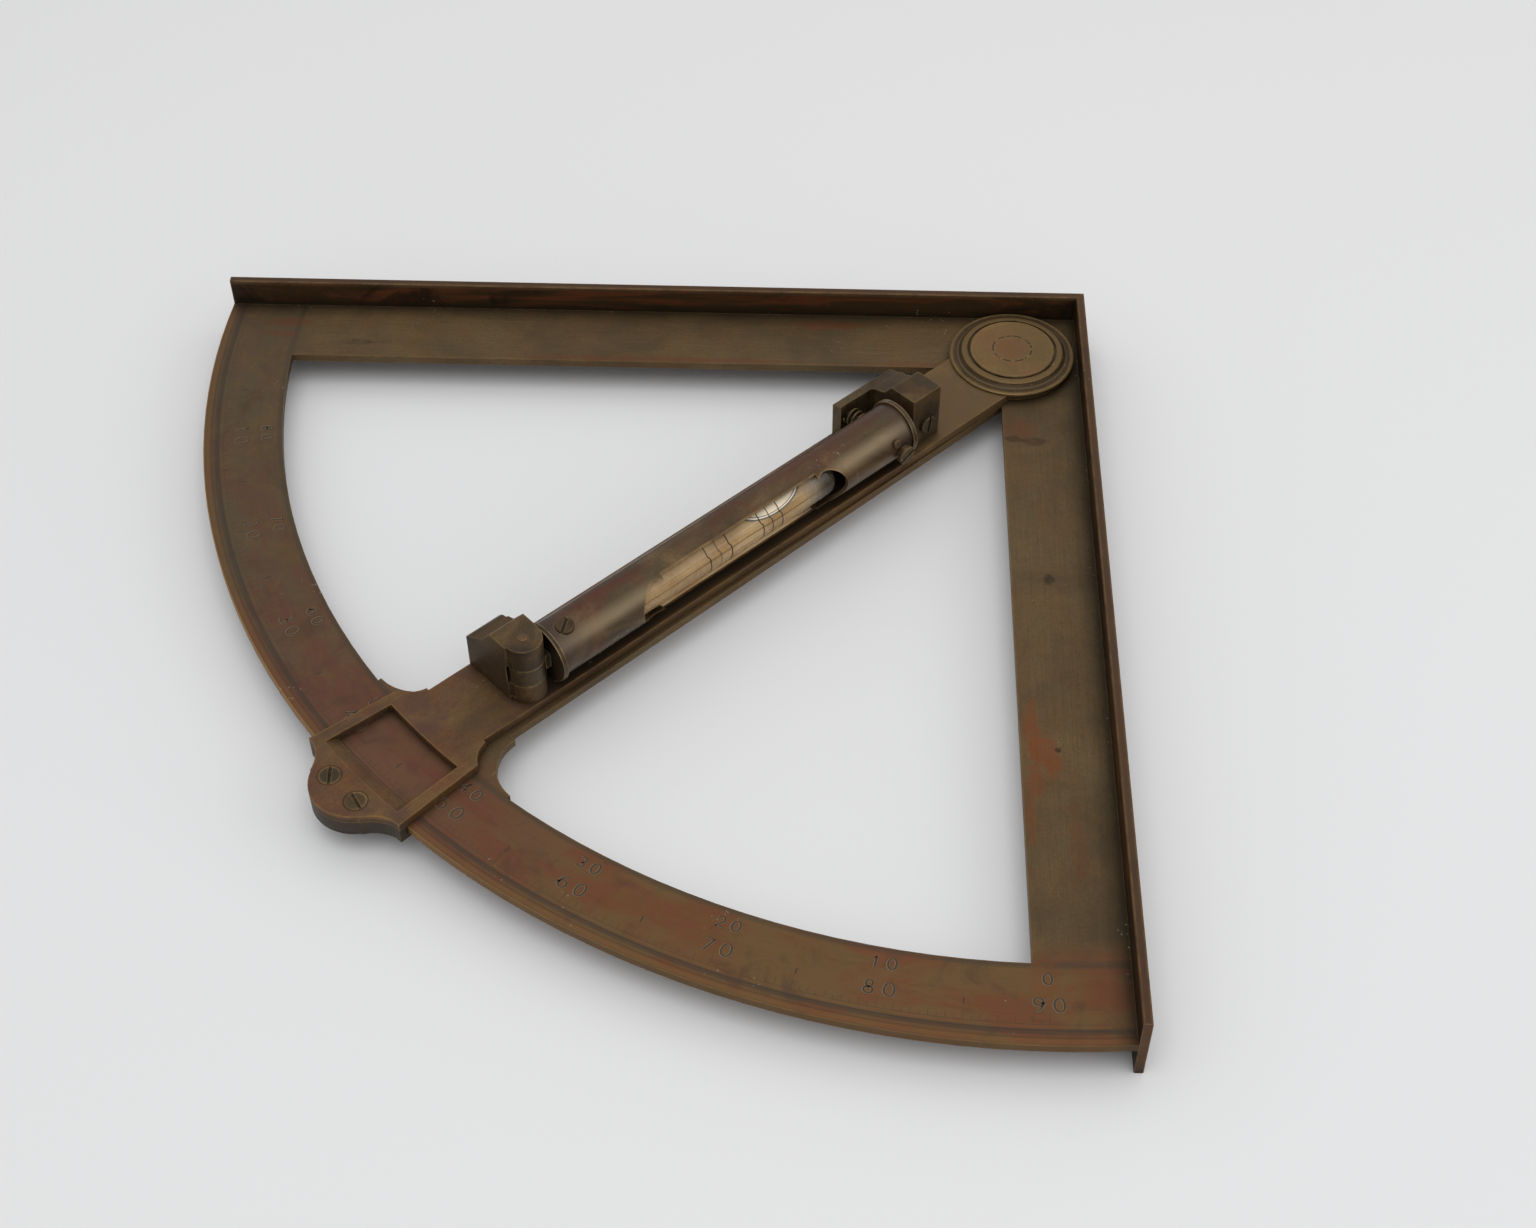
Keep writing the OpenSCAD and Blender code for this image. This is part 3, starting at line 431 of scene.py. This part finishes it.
# Grooves and bands of the limb: middle radius, half width and softness in millimetres, tint and share
LIMB_BANDS = ((168.9, 0.3, 0.9, srgb(66, 58, 46), 0.7), (183.3, 0.3, 0.6, srgb(62, 52, 42), 0.7),
              (184.55, 0.1, 0.3, srgb(70, 50, 34), 0.5), (185.3, 0.3, 0.5, srgb(112, 78, 44), 0.45),
              (186.1, 0.15, 0.2, srgb(78, 62, 40), 0.7))
# Painted shade and painted highlights on the cap's mouldings: middle radius and half width in millimetres,
# tint and share
CAP_SHADE_AND_HIGHLIGHTS = ((10.05, 0.3, srgb(24, 18, 12), 0.85), (11.2, 0.45, srgb(108, 86, 52), 0.7),
             (12.1, 0.25, srgb(34, 27, 18), 0.75), (12.7, 0.15, srgb(92, 74, 48), 0.6),
             (13.2, 0.3, srgb(40, 32, 22), 0.7), (14.2, 0.3, srgb(104, 84, 52), 0.7))


def limb_tints(f, colour):
    """Mottled red and gold limb, darker towards the X bar, its grooves and brown rim; soiling and painted
    shadow along the bars.
    """
    r, angle = f.radius(), f.angle()
    on_limb = f.ramp(r, LIMB_FROM - 3, LIMB_FROM + 3)
    runs = f.noise(1.0, 5, 0.62, 0.5, f.polar(0.11, 0.12))
    fine = f.noise(1.0, 5, 0.6, 0.3, f.polar(1.2, 0.35))
    base = f.mix(f.ramp(angle, 22, 44), srgb(82, 69, 50), srgb(100, 67, 50))
    base = f.mix(f.ramp(angle, 50, 64), base, srgb(103, 77, 46))
    colour = f.mix(f.times(on_limb, 0.85), colour, base)
    red = f.times(on_limb, f.ramp(runs, 0.44, 0.56), f.ramp(angle, 0, 35, 0.15, 0.7))
    colour = f.mix(red, colour, f.mix(f.ramp(angle, 38, 62), srgb(94, 57, 45), srgb(106, 60, 40)))
    olive = f.times(on_limb, f.ramp(f.noise(130, 6, 0.66, 1.2), 0.48, 0.64))
    colour = f.mix(f.times(olive, 0.45), colour, srgb(98, 77, 44))
    dull = f.times(on_limb, f.ramp(f.noise(95, 6, 0.66, 0.9, f.map(shift=(0.4, 0.1, 0))), 0.52, 0.66))
    colour = f.mix(f.times(dull, 0.5), colour, srgb(70, 54, 42))
    colour = f.mix(f.times(f.ramp(fine, 0.55, 0.75), f.times(on_limb, 0.3)), colour, srgb(66, 50, 32))
    for middle, half, soft, tint, share in LIMB_BANDS:
        band = f.times(f.ramp(f.off(r, middle), half + soft, half), f.ramp(fine, 0.25, 0.55, 0.6, 1.0))
        colour = f.mix(f.times(band, f.times(on_limb, share)), colour, tint)
    gilt = f.times(f.ramp(f.off(r, 186.15), 0.22, 0.08), f.ramp(angle, 62, 46, 0.15, 0.75))
    colour = f.mix(gilt, colour, srgb(142, 106, 58))
    colour = f.blot(colour, RED_STAINS, srgb(112, 62, 32))
    colour = f.blot(colour, BROWN_STAINS, srgb(100, 56, 34))
    colour = f.blot(colour, DARK_STAINS, srgb(46, 35, 24))
    # Soiling and the bars' painted shadow on the plate, darkest beside them and fading out a few millimetres
    # away
    near_bar = f.times(f.math("MINIMUM", f.axis(0), f.axis(1)), 1000.0)
    dirt_and_shadow = f.math("ADD", near_bar, f.times(f.noise(120, 4, 0.6), 3.0))
    colour = f.mix(f.ramp(dirt_and_shadow, 8.0, 3.2, 0.0, 0.7), colour, srgb(36, 29, 17))
    corner = f.times(f.ramp(near_bar, 3.4, 2.4), f.ramp(f.noise(90, 3, 0.6), 0.5, 0.64))
    return f.dust(colour, corner, 0.55)


def bar_tints(f, colour):
    """Tops painted darker against the light they reflect, painted shade on the inner faces and deeper painted
    shade in their corners at the plate, with red stains and black patches there; in metres.
    """
    x, y, z = (f.axis(i) for i in range(3))
    # 1 on the inner faces, which lie 1.8 mm inside the outer ones, below the bars' tops
    faces = [f.times(f.ramp(d, 0.00172, 0.00178), f.ramp(d, 0.00195, 0.00185)) for d in (y, x)]
    inner = f.times(f.math("MAXIMUM", *faces), f.ramp(z, 0.0152, 0.0148))
    # Painted shade: the inner faces turn away from the light
    colour = f.mix(f.times(inner, 0.75), colour, srgb(46, 32, 14))
    stain = f.times(inner, f.ramp(f.noise(1.0, 5, 0.62, 1.0, f.along_bars(0.03, 0.2)), 0.48, 0.6))
    colour = f.mix(f.times(stain, 0.75), colour, srgb(92, 50, 26))
    black = f.times(inner, f.ramp(f.noise(40, 4, 0.6, 1.0, f.map(shift=(0.2, 0.5, 0))), 0.52, 0.62))
    colour = f.mix(f.times(black, 0.7), colour, srgb(16, 14, 8))
    # Painted shade: the tops are toned down against the light they reflect
    colour = f.mix(f.ramp(z, 0.0156, 0.0158, 0.0, 0.7), colour, srgb(68, 48, 32))
    # Deeper painted shade low on the inner faces, in the corner at the plate
    return f.mix(f.times(inner, f.ramp(z, 0.0122, 0.0094), 0.8), colour, srgb(30, 24, 12))


def cap_tints(f, colour):
    """A darker outer ring, painted shade in the cap's mouldings, painted highlights on their crests, and a
    redder pin head in the middle.
    """
    r = f.radius()
    soft = f.math("ADD", r, f.times(f.math("SUBTRACT", f.noise(400, 3, 0.6), 0.5), 0.5))
    colour = f.mix(f.ramp(r, 9.9, 10.3, 0.0, 0.75), colour, srgb(74, 60, 42))
    # Dark bands are painted shade in the mouldings' hollows, lighter ones painted highlights on their crests
    for middle, half, tint, share in CAP_SHADE_AND_HIGHLIGHTS:
        colour = f.mix(f.times(f.ramp(f.off(r, middle), half + 0.2, half - 0.1), share), colour, tint)
    return f.mix(f.ramp(soft, 4.4, 2.6, 0.0, 0.4), colour, srgb(112, 74, 50))


def arm_tints(f, colour):
    """Paler near the cap, painted shadow under the tube, purple outer end with grey sides, dark rings round
    screws.
    """
    u, v = f.arm_axes()
    colour = f.mix(f.ramp(u, 44, 30, 0.0, 0.6), colour, srgb(102, 84, 56))
    under = f.times(f.ramp(f.off(v, 6.4), 3.4, 1.6), f.times(f.ramp(u, 38, 44), f.ramp(u, 150, 144)))
    # Painted shadow: the tube overhangs the arm here and shades its top
    colour = f.mix(f.times(under, 0.75), colour, srgb(36, 27, 15))
    purple = f.times(f.ramp(f.noise(60, 4, 0.6, 0.8), 0.46, 0.6), f.ramp(u, 140, 152))
    colour = f.mix(f.times(purple, 0.6), colour, srgb(80, 56, 50))
    side = f.times(f.ramp(f.axis(2), 0.0107, 0.0101), f.ramp(u, 184, 187))
    colour = f.mix(f.times(side, 0.6), colour, srgb(52, 50, 46))
    for place in LOBE_SCREWS:
        colour = f.mix(f.times(f.ring(*place, 2.30, 0.12, 0.25), 0.8), colour, srgb(28, 20, 12))
    return colour


def tube_tints(f, colour):
    """Red streaks along the tube's top, a painted sheen on the near side past the window and a grey bloom at
    both ends.
    """
    u, v = f.arm_axes()
    top = f.ramp(f.off(v, 2.6), 3.2, 1.0)
    streak = f.ramp(f.noise(1.0, 5, 0.6, 0.6, f.along_arm(0.05, 0.4, 0.4)), 0.42, 0.6)
    colour = f.mix(f.times(top, streak, 0.7), colour, srgb(92, 54, 42))
    past = f.math("MAXIMUM", f.ramp(u, 112, 120), f.ramp(u, 70, 62))
    near = f.ramp(f.off(v, 8.8), 1.9, 0.4)
    # Painted sheen: a lighter band along the near flank, past both ends of the window
    colour = f.mix(f.times(past, near, 0.6), colour, srgb(132, 117, 92))
    bloom = f.math("MAXIMUM", f.ramp(u, 133, 140), f.ramp(u, 51, 45))
    return f.mix(f.times(bloom, 0.5), colour, srgb(66, 60, 58))


GOLD = srgb(142, 108, 60)
plate_brass = aged_brass("plate brass", srgb(101, 83, 56), srgb(104, 70, 44), srgb(84, 68, 45), GOLD,
                         golden=0.2, warm_share=0.3, drawn=Finish.along_plate, streak=0.4, wear=0.4,
                         extra=limb_tints)
bar_brass = aged_brass("bar brass", srgb(86, 66, 43), srgb(98, 60, 36), srgb(62, 48, 32), srgb(140, 108, 66),
                       golden=0.2, warm_share=0.5, wear=0.6, metallic=0.2, shift=(0.3, 0.1, 0),
                       extra=bar_tints)
arm_brass = aged_brass("arm brass", srgb(108, 82, 52), srgb(106, 66, 44), srgb(80, 62, 42), GOLD,
                       golden=0.6, warm_share=0.6, drawn=drawn_arm(2.6), wear=0.8, shift=(0.1, 0.7, 0.2),
                       extra=arm_tints)
block_brass = aged_brass("block brass", srgb(70, 60, 50), srgb(84, 62, 44), srgb(50, 46, 42),
                         srgb(110, 88, 56), golden=0.2, warm_share=0.4, drawn=drawn_arm(2.6), wear=0.15,
                         shift=(0.4, 0.7, 0.2))
cap_brass = aged_brass("cap brass", srgb(124, 99, 60), srgb(130, 90, 60), srgb(108, 86, 53),
                       srgb(156, 126, 78), warm_share=0.4, rough=0.42, metallic=0.45,
                       drawn=lambda f: f.polar(2.6, 0.3), streak=0.15, wear=0.5, shift=(0.5, 0.2, 0),
                       extra=cap_tints)
bracket_brass = aged_brass("bracket brass", srgb(84, 69, 49), srgb(104, 76, 44), srgb(56, 46, 36),
                           srgb(150, 122, 76), warm_share=0.6, rough=0.45, metallic=0.45, wear=0.5,
                           shift=(0.9, 0.4, 0))
tube_brass = aged_brass("tube brass", srgb(94, 76, 54), srgb(96, 60, 46), srgb(72, 62, 46),
                        srgb(150, 122, 82), golden=0.4, warm_share=0.6, rough=0.33, metallic=0.6,
                        drawn=drawn_arm(2.0), streak=0.15, wear=0.7, extra=tube_tints)
plug_brass = aged_brass("plug brass", srgb(88, 73, 54), srgb(100, 72, 48), srgb(60, 50, 38),
                        srgb(176, 150, 110), warm_share=0.4, rough=0.4, metallic=0.6, wear=0.8,
                        shift=(0.2, 0.2, 0.6))
screw_brass = aged_brass("screw brass", srgb(96, 78, 50), srgb(100, 74, 46), srgb(66, 55, 40),
                         srgb(140, 116, 76), warm_share=0.3, rough=0.42, metallic=0.5, streak=0.2, wear=0.5,
                         grime_and_shade=0.9, shift=(0.6, 0.6, 0.1))
dark_screw = aged_brass("dark screw", srgb(70, 58, 42), srgb(80, 60, 40), srgb(50, 42, 32), srgb(120, 98, 66),
                        golden=0.2, warm_share=0.4, rough=0.42, metallic=0.5, streak=0.2, wear=0.4, grime_and_shade=0.9,
                        shift=(0.1, 0.6, 0.4))
copper = aged_brass("pin copper", srgb(118, 86, 62), srgb(124, 88, 62), srgb(92, 70, 52), srgb(150, 118, 94),
                    rough=0.35, metallic=0.6, streak=0.05, wear=0.4)


def engraving(name, colour, rough):
    """The plain colour of an engraved line or of a band on the vial, worn unevenly."""
    f = Finish(name)
    worn = f.ramp(f.noise(420, 4, 0.6), 0.4, 0.68)
    f.surface(Base_Color=f.mix(f.times(worn, 0.4), colour, shade(colour, 1.4)), Roughness=rough, Metallic=0.2)
    return f.material


cut_dark = engraving("engraved line", srgb(50, 37, 24), 0.6)
cut_black = engraving("punched mark", srgb(34, 25, 15), 0.6)
# A painted highlight on the lit edges of the numerals' cuts
cut_highlight = engraving("engraved edge", srgb(100, 80, 54), 0.5)
cut_faint = engraving("fine division", srgb(60, 46, 29), 0.6)
# Painted highlight and painted shade of the bubble's rim, and its pale face
rim_highlight = engraving("bubble rim", srgb(214, 204, 186), 0.2)
rim_shade = engraving("bubble edge", srgb(84, 76, 62), 0.3)
bubble_dull = engraving("bubble shade", srgb(128, 114, 94), 0.3)
bubble_pale = engraving("bubble face", srgb(206, 190, 164), 0.3)


def bubble_air():
    """Air in the vial: clear, with more of its own sheen at grazing angles."""
    f = Finish("bubble")
    tint = (0.9, 0.9, 0.86)
    grazing = f.node("ShaderNodeLayerWeight", {"Blend": 0.25}, "Fresnel")
    f.surface(Base_Color=f.mix(f.ramp(f.noise(200, 3), 0.4, 0.7), tint, shade(tint, 0.9)),
              Roughness=f.ramp(f.noise(300, 3), 0.3, 0.8, 0.1, 0.15),
              Alpha=f.ramp(grazing, 0.0, 1.0, 0.12, 0.5))
    return f.material


def lining(name, pale, stained, dark, opaque=1.0, rough=0.55):
    """Old cream paper, or its image that fills the vial: stains, dark creases along its length and fibre;
    grey and then painted shade towards the window's end nearer the pivot.
    """
    f = Finish(name)
    u = f.arm_axes()[0]
    colour = f.mix(f.ramp(f.noise(90, 5, 0.6), 0.4, 0.6), pale, stained)
    height = f.math("ADD", f.times(f.axis(2), 1000.0), f.noise(45, 4, 0.6))
    for middle, half, share in ((20.3, 0.16, 0.7), (21.6, 0.1, 0.35), (18.4, 0.12, 0.35), (22.4, 0.3, 0.3)):
        crease = f.ramp(f.off(height, middle), 2.4 * half, 0.4 * half)
        colour = f.mix(f.times(crease, share), colour, dark)
    lines = f.noise(1.0, 5, 0.65, 0.2, f.along_arm(0.06, 1.6, 1.6))
    colour = f.mix(f.ramp(lines, 0.5, 0.72, 0.0, 0.4), colour, dark)
    # Towards the window's end nearer the pivot: grey, then painted shade inside the tube
    colour = f.mix(f.ramp(u, 75.5, 72.0, 0.0, 0.7), colour, srgb(126, 118, 104))
    colour = f.mix(f.ramp(u, 71.5, 68.5, 0.0, 0.85), colour, srgb(52, 46, 38))
    f.surface(Base_Color=colour, Roughness=f.ramp(f.noise(700, 3), 0.3, 0.7, rough, rough + 0.1))
    if opaque < 1:
        f.surface(Alpha=f.ramp(f.noise(150, 3), 0.3, 0.7, opaque, opaque + 0.05))
    else:
        f.bump(f.noise(900, 2), 0.1)
    return f.material


air = bubble_air()
paper = lining("vial lining", srgb(232, 206, 164), srgb(214, 178, 130), srgb(128, 92, 54))
spirit = lining("spirit", srgb(224, 188, 134), srgb(196, 158, 106), srgb(116, 84, 50), 0.85)
glass = lining("vial glass", srgb(212, 180, 130), srgb(184, 150, 102), srgb(116, 84, 50), 0.6, 0.22)
plaster = lining("vial plaster", srgb(120, 108, 90), srgb(96, 84, 68), srgb(70, 60, 48))

FINISHES = {
    plate_brass: ["quadrant_plate"],
    bar_brass: ["edge_bar_x", "edge_bar_y"],
    arm_brass: ["index_arm"],
    block_brass: ["limb_block", "keeper_plate"],
    cap_brass: ["pivot_cap", "pivot_pin"],
    bracket_brass: ["hinge_bracket", "adjuster_bracket"],
    tube_brass: ["level_tube"],
    plug_brass: ["hinge_plug", "adjuster_plug"],
    screw_brass: ["pivot_washer", "pivot_spring_washer", "pivot_nut", "index_screws", "hinge_bracket_screws",
                  "adjuster_bracket_screws", "adjuster_spring", "adjuster_screw", "adjuster_plug_screw"],
    dark_screw: ["hinge_plug_screw", "post_screw"],
    copper: ["hinge_pin"],
    glass: ["vial_glass"],
    spirit: ["vial_spirit"],
    air: ["vial_bubble"],
    paper: ["vial_backing"],
    plaster: ["vial_packing"],
}
for material, names in FINISHES.items():
    for name in names:
        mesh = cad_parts[name].data
        mesh.materials.clear()
        mesh.materials.append(material)


# The divided scale on the limb, the vernier and the cap's punch marks

def numbers_on_limb():
    """Two rows of tens: the outer row reads the angle from the X bar, the inner row its complement."""
    outer = [(t, t) for t in range(10, 91, 10)]
    inner = [(90 - t, t) for t in range(10, 91, 10)]
    rows = (("outer", outer, ROWS[0], 2.9, 3.8), ("inner", inner, ROWS[1], 2.4, 3.1))
    # Each numeral twice: a wider pale copy a little aside, a painted highlight on the cut's edge, and the
    # dark line over it, the cut's painted shade
    cuts = (("edge", cut_highlight, (-0.06, -0.08), 1.9, 0.015), ("line", cut_dark, (0, 0), 1, 0.021))
    for kind, material, shift, width, rise in cuts:
        for row, values, r, height, gap in rows:
            thick, thin = 0.36 * width, 0.14 * width
            points, faces = engraved_numbers(values, r, height, gap, thick, thin, shift, PLATE_TOP + rise)
            mesh_piece(f"scale_{row}_numbers_{kind}", points, faces, "frame", material)


def divisions_on_limb():
    """Divisions of half a degree near the rim, longer at 1, 5 and 10 degrees, between two border lines."""
    half_degrees = np.arange(0, 181)
    length = 0.8 + sum(more * (half_degrees % step == 0) for step, more in ((2, 0.6), (10, 0.5), (20, 0.4)))
    low, high = PLATE_TOP - 0.01, PLATE_TOP + 0.012
    points, faces = radial_marks(0.5 * half_degrees, DIVISIONS_TO - length, DIVISIONS_TO, 0.09, low, high)
    mesh_piece("scale_divisions", points, faces, "frame", cut_faint)
    points, faces = radial_marks(np.arange(5, 90, 10), *FIVES, 0.26, low, PLATE_TOP + 0.014)
    mesh_piece("scale_five_marks", points, faces, "frame", cut_dark)
    for name, r, width, material in zip(("outer", "inner"), BORDERS, (0.2, 0.07), (cut_dark, cut_faint)):
        points, faces = ring_band(r, r + width, -3.4, 93.4, high, 400)
        mesh_piece(f"scale_border_{name}", points, faces, "frame", material)


def vernier():
    """Divisions on the bevel of the arm's window: boxes along radii, at the bevel's height at each radius."""
    k = np.arange(-15, 16)
    degrees = 0.2175 * k[:, None]
    inner = np.full(len(k), BEVEL_R + 0.05)
    outer = inner + 0.9 + 0.5 * (k % 5 == 0)
    r = np.stack([inner, outer, outer, inner], -1)
    half = np.degrees(0.05 / r) * np.array([-1, -1, 1, 1])
    z = BEVEL_Z + (r - BEVEL_R) * BEVEL_RISE
    points = np.concatenate([on_arm_round(r, degrees + half, z + lift) for lift in (-0.01, 0.02)], 1)
    mesh_piece("vernier_divisions", points, bar_faces(len(k)), "arm", cut_dark)


def pin_ring():
    """Punched dashes round the pivot pin's flush head: long or short ellipses along a circle of 4.46 mm."""
    dash = np.arange(20)[:, None]
    t = np.radians(18 * dash + 4 * np.sin(2.4 * dash))
    a = np.radians(np.arange(0, 360, 36))
    reach = np.where(dash % 5 == 0, 0.35, 0.66) * np.cos(a)
    r = 4.46 + 0.17 * np.sin(a)
    u = r * np.cos(t) - reach * np.sin(t)
    v = r * np.sin(t) + reach * np.cos(t)
    faces = len(a) * dash + np.arange(len(a))[::-1]
    mesh_piece("cap_punch_marks", on_arm(u, v, CAP_TOP + 0.012), faces, "arm", cut_black)


# The vial's lines and bubble, the lining's edge and the adjuster's spring

def vial_lines():
    """Two groups of three fine rings on the glass: u plus or minus half their width, with a small kink."""
    marks = ((101.9, 0.24), (99.0, 0.14), (96.0, 0.26), (87.0, 0.24), (84.4, 0.2), (81.6, 0.22))
    t = np.linspace(-100, 100, 41)
    kink = 0.25 * np.sign(t - 28) * np.minimum(np.abs(t - 28) / 4, 1)
    sides = [u + side * width / 2 + kink for u, width in marks for side in (-1, 1)]
    points = [on_vial(u, t, VIAL_R + 0.05) for u in sides]
    k = np.arange(40) + 82 * np.arange(len(marks))[:, None]
    faces = np.stack([k, k + 1, k + 42, k + 41], -1).reshape(-1, 4)
    mesh_piece("vial_lines", np.concatenate(points), faces, "level", cut_black)


def bubble_rim():
    """The bubble as the glass shows it: a painted shade rim, a painted highlight band, a band of painted
    shade and a pale face, as bands along an ellipse, cos t along the vial and sin t round it.
    """
    half_long, half_round = 9.0, 60  # in millimetres and in degrees of the vial
    t = np.radians(np.linspace(0, 360, 97))
    # The edge band is painted shade, the light band a painted highlight, the shade band painted shade
    bands = (("edge", rim_shade, 0.935, 1.0, 2), ("light", rim_highlight, 0.89, 0.935, 2),
             ("shade", bubble_dull, 0.84, 0.89, 2), ("face", bubble_pale, 0.01, 0.84, 16))
    for name, material, inner, outer, rings in bands:
        share = np.linspace(inner, outer, rings)[:, None]
        u, degrees = BUBBLE_U + share * half_long * np.cos(t), 90 + share * half_round * np.sin(t)
        points = on_vial(u, degrees, VIAL_R + 0.015)
        k = (np.arange(96) + 97 * np.arange(rings - 1)[:, None]).reshape(-1)
        faces = np.stack([k, k + 1, k + 98, k + 97], -1)
        mesh_piece(f"bubble_{name}", points, faces, "level", material)


def lining_edge():
    """The paper's near edge on the window's lower lip: a closed strip as long as the window."""
    start, end = WINDOW
    v = LEVEL_V + np.array([0.4, 0.4, 2.6, 2.6])
    points = [on_arm([start, end, end, start], v, LEVEL_Z - below) for below in (5.13, 5.03)]
    mesh_piece("vial_backing_edge", np.concatenate(points), bar_faces(1), "level", paper)


def spring():
    """The adjuster's spring: rings of points round a helix, and flat ends."""
    turns, reach, wire, sides, steps = 3.5, 1.9, 0.28, 12, 112
    share = np.linspace(0, 1, steps + 1)[:, None]
    turn = 2 * np.pi * turns * share
    around = np.radians(np.arange(0, 360, 360 / sides))
    r = reach + wire * np.cos(around)
    v = SPRING_FROM + (SPRING_TO - SPRING_FROM) * share + wire * np.sin(around)
    points = on_arm(ADJUST_U + r * np.cos(turn), v, ADJUST_Z - r * np.sin(turn))
    i, k = np.arange(sides), sides * np.arange(steps)[:, None]
    beside = (i + 1) % sides
    wall = np.stack(np.broadcast_arrays(k + i, k + sides + i, k + sides + beside, k + beside), -1)
    i = np.arange(sides // 2 - 1)
    cap = np.stack([i, i + 1, sides - 2 - i, sides - 1 - i], -1)
    faces = np.concatenate([wall.reshape(-1, 4), cap, (cap + sides * steps)[:, ::-1]])
    piece = mesh_piece("adjuster_coil", points, faces, None, screw_brass, smooth=True)
    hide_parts("adjuster_spring")
    on_arm(ADJUST_U, SPRING_FROM, ADJUST_Z)
    on_arm(ADJUST_U, SPRING_TO, ADJUST_Z)
    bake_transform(piece)


numbers_on_limb()
divisions_on_limb()
vernier()
pin_ring()
vial_lines()
bubble_rim()
lining_edge()
spring()


# Floor, light and camera

def floor():
    """A pale matt floor, 6 m square."""
    f = Finish("floor")
    pale = f.mix(f.ramp(f.noise(1.5, 2), 0.3, 0.7), (0.725, 0.73, 0.74), (0.74, 0.74, 0.742))
    f.surface(Base_Color=pale, Roughness=0.9, Specular_IOR_Level=0.1)
    mesh = bpy.data.meshes.new("floor")
    mesh.from_pydata([(-3, -3, 0), (3, -3, 0), (3, 3, 0), (-3, 3, 0)], [], [(0, 1, 2, 3)])
    mesh.materials.append(f.material)
    piece = add_object("floor", mesh)


def lamp(name, place, size, power, colour=(1.0, 1.0, 1.0)):
    """An area lamp of the given size and power in watts at place, turned to the quadrant's middle."""
    data = bpy.data.lights.new(name, "AREA")
    data.shape = "RECTANGLE"
    data.size, data.size_y = size
    data.energy = power
    data.color = colour
    lamp_object = add_object(name, data)
    lamp_object.location = place
    lamp_object.rotation_euler = (Vector((0.1, 0.1, 0)) - Vector(place)).to_track_quat("-Z", "Y").to_euler()


def surroundings(low, high):
    """White light from all round, its strength rising from low near the floor to high overhead."""
    world = bpy.data.worlds.new("studio")
    world.use_nodes = True
    bpy.context.scene.world = world
    nodes, links = world.node_tree.nodes, world.node_tree.links
    sky, split, span = (nodes.new("ShaderNode" + kind) for kind in ("TexCoord", "SeparateXYZ", "MapRange"))
    back = nodes["Background"]
    back.inputs["Color"].default_value = (1.0, 1.0, 1.0, 1)
    for key, value in (("From Min", -0.1), ("To Min", low), ("To Max", high)):
        span.inputs[key].default_value = value
    links.new(sky.outputs["Generated"], split.inputs[0])
    links.new(split.outputs[2], span.inputs["Value"])
    links.new(span.outputs[0], back.inputs["Strength"])


def camera():
    """A 53.76 mm lens on a 36 mm frame, looking down at 46.97 degrees from beyond the limb."""
    azimuth, elevation, roll = (math.radians(a) for a in (91.978, 46.973, -0.119))
    level = math.cos(elevation)
    ahead = -Vector((level * math.cos(azimuth), level * math.sin(azimuth), math.sin(elevation)))
    right = ahead.cross(Vector((0, 0, 1))).normalized()
    up = right.cross(ahead)
    x = right * math.cos(roll) + up * math.sin(roll)
    y = up * math.cos(roll) - right * math.sin(roll)
    data = bpy.data.cameras.new("camera")
    data.lens = 53.76
    data.sensor_width = 36
    data.sensor_fit = "HORIZONTAL"
    data.clip_start = 0.01
    camera_object = add_object("camera", data)
    turn = Matrix((x, y, -ahead)).transposed().to_4x4()
    camera_object.matrix_world = Matrix.Translation(Vector((0.06016, 0.42805, 0.36105))) @ turn
    bpy.context.scene.camera = camera_object


floor()
lamp("back window", (0.05, -0.4, 1.1), (0.9, 0.7), 0.8, (1.0, 0.99, 0.97))
lamp("side window", (-0.9, 0.25, 0.5), (0.9, 0.6), 1.8)
lamp("overhead", (0.08, 0.45, 1.15), (0.9, 0.9), 4.6)
surroundings(0.52, 0.76)
camera()
bpy.context.scene.cycles.transparent_max_bounces = 32  # the vial's layers lie behind one another
bpy.context.scene.view_settings.view_transform = "Standard"
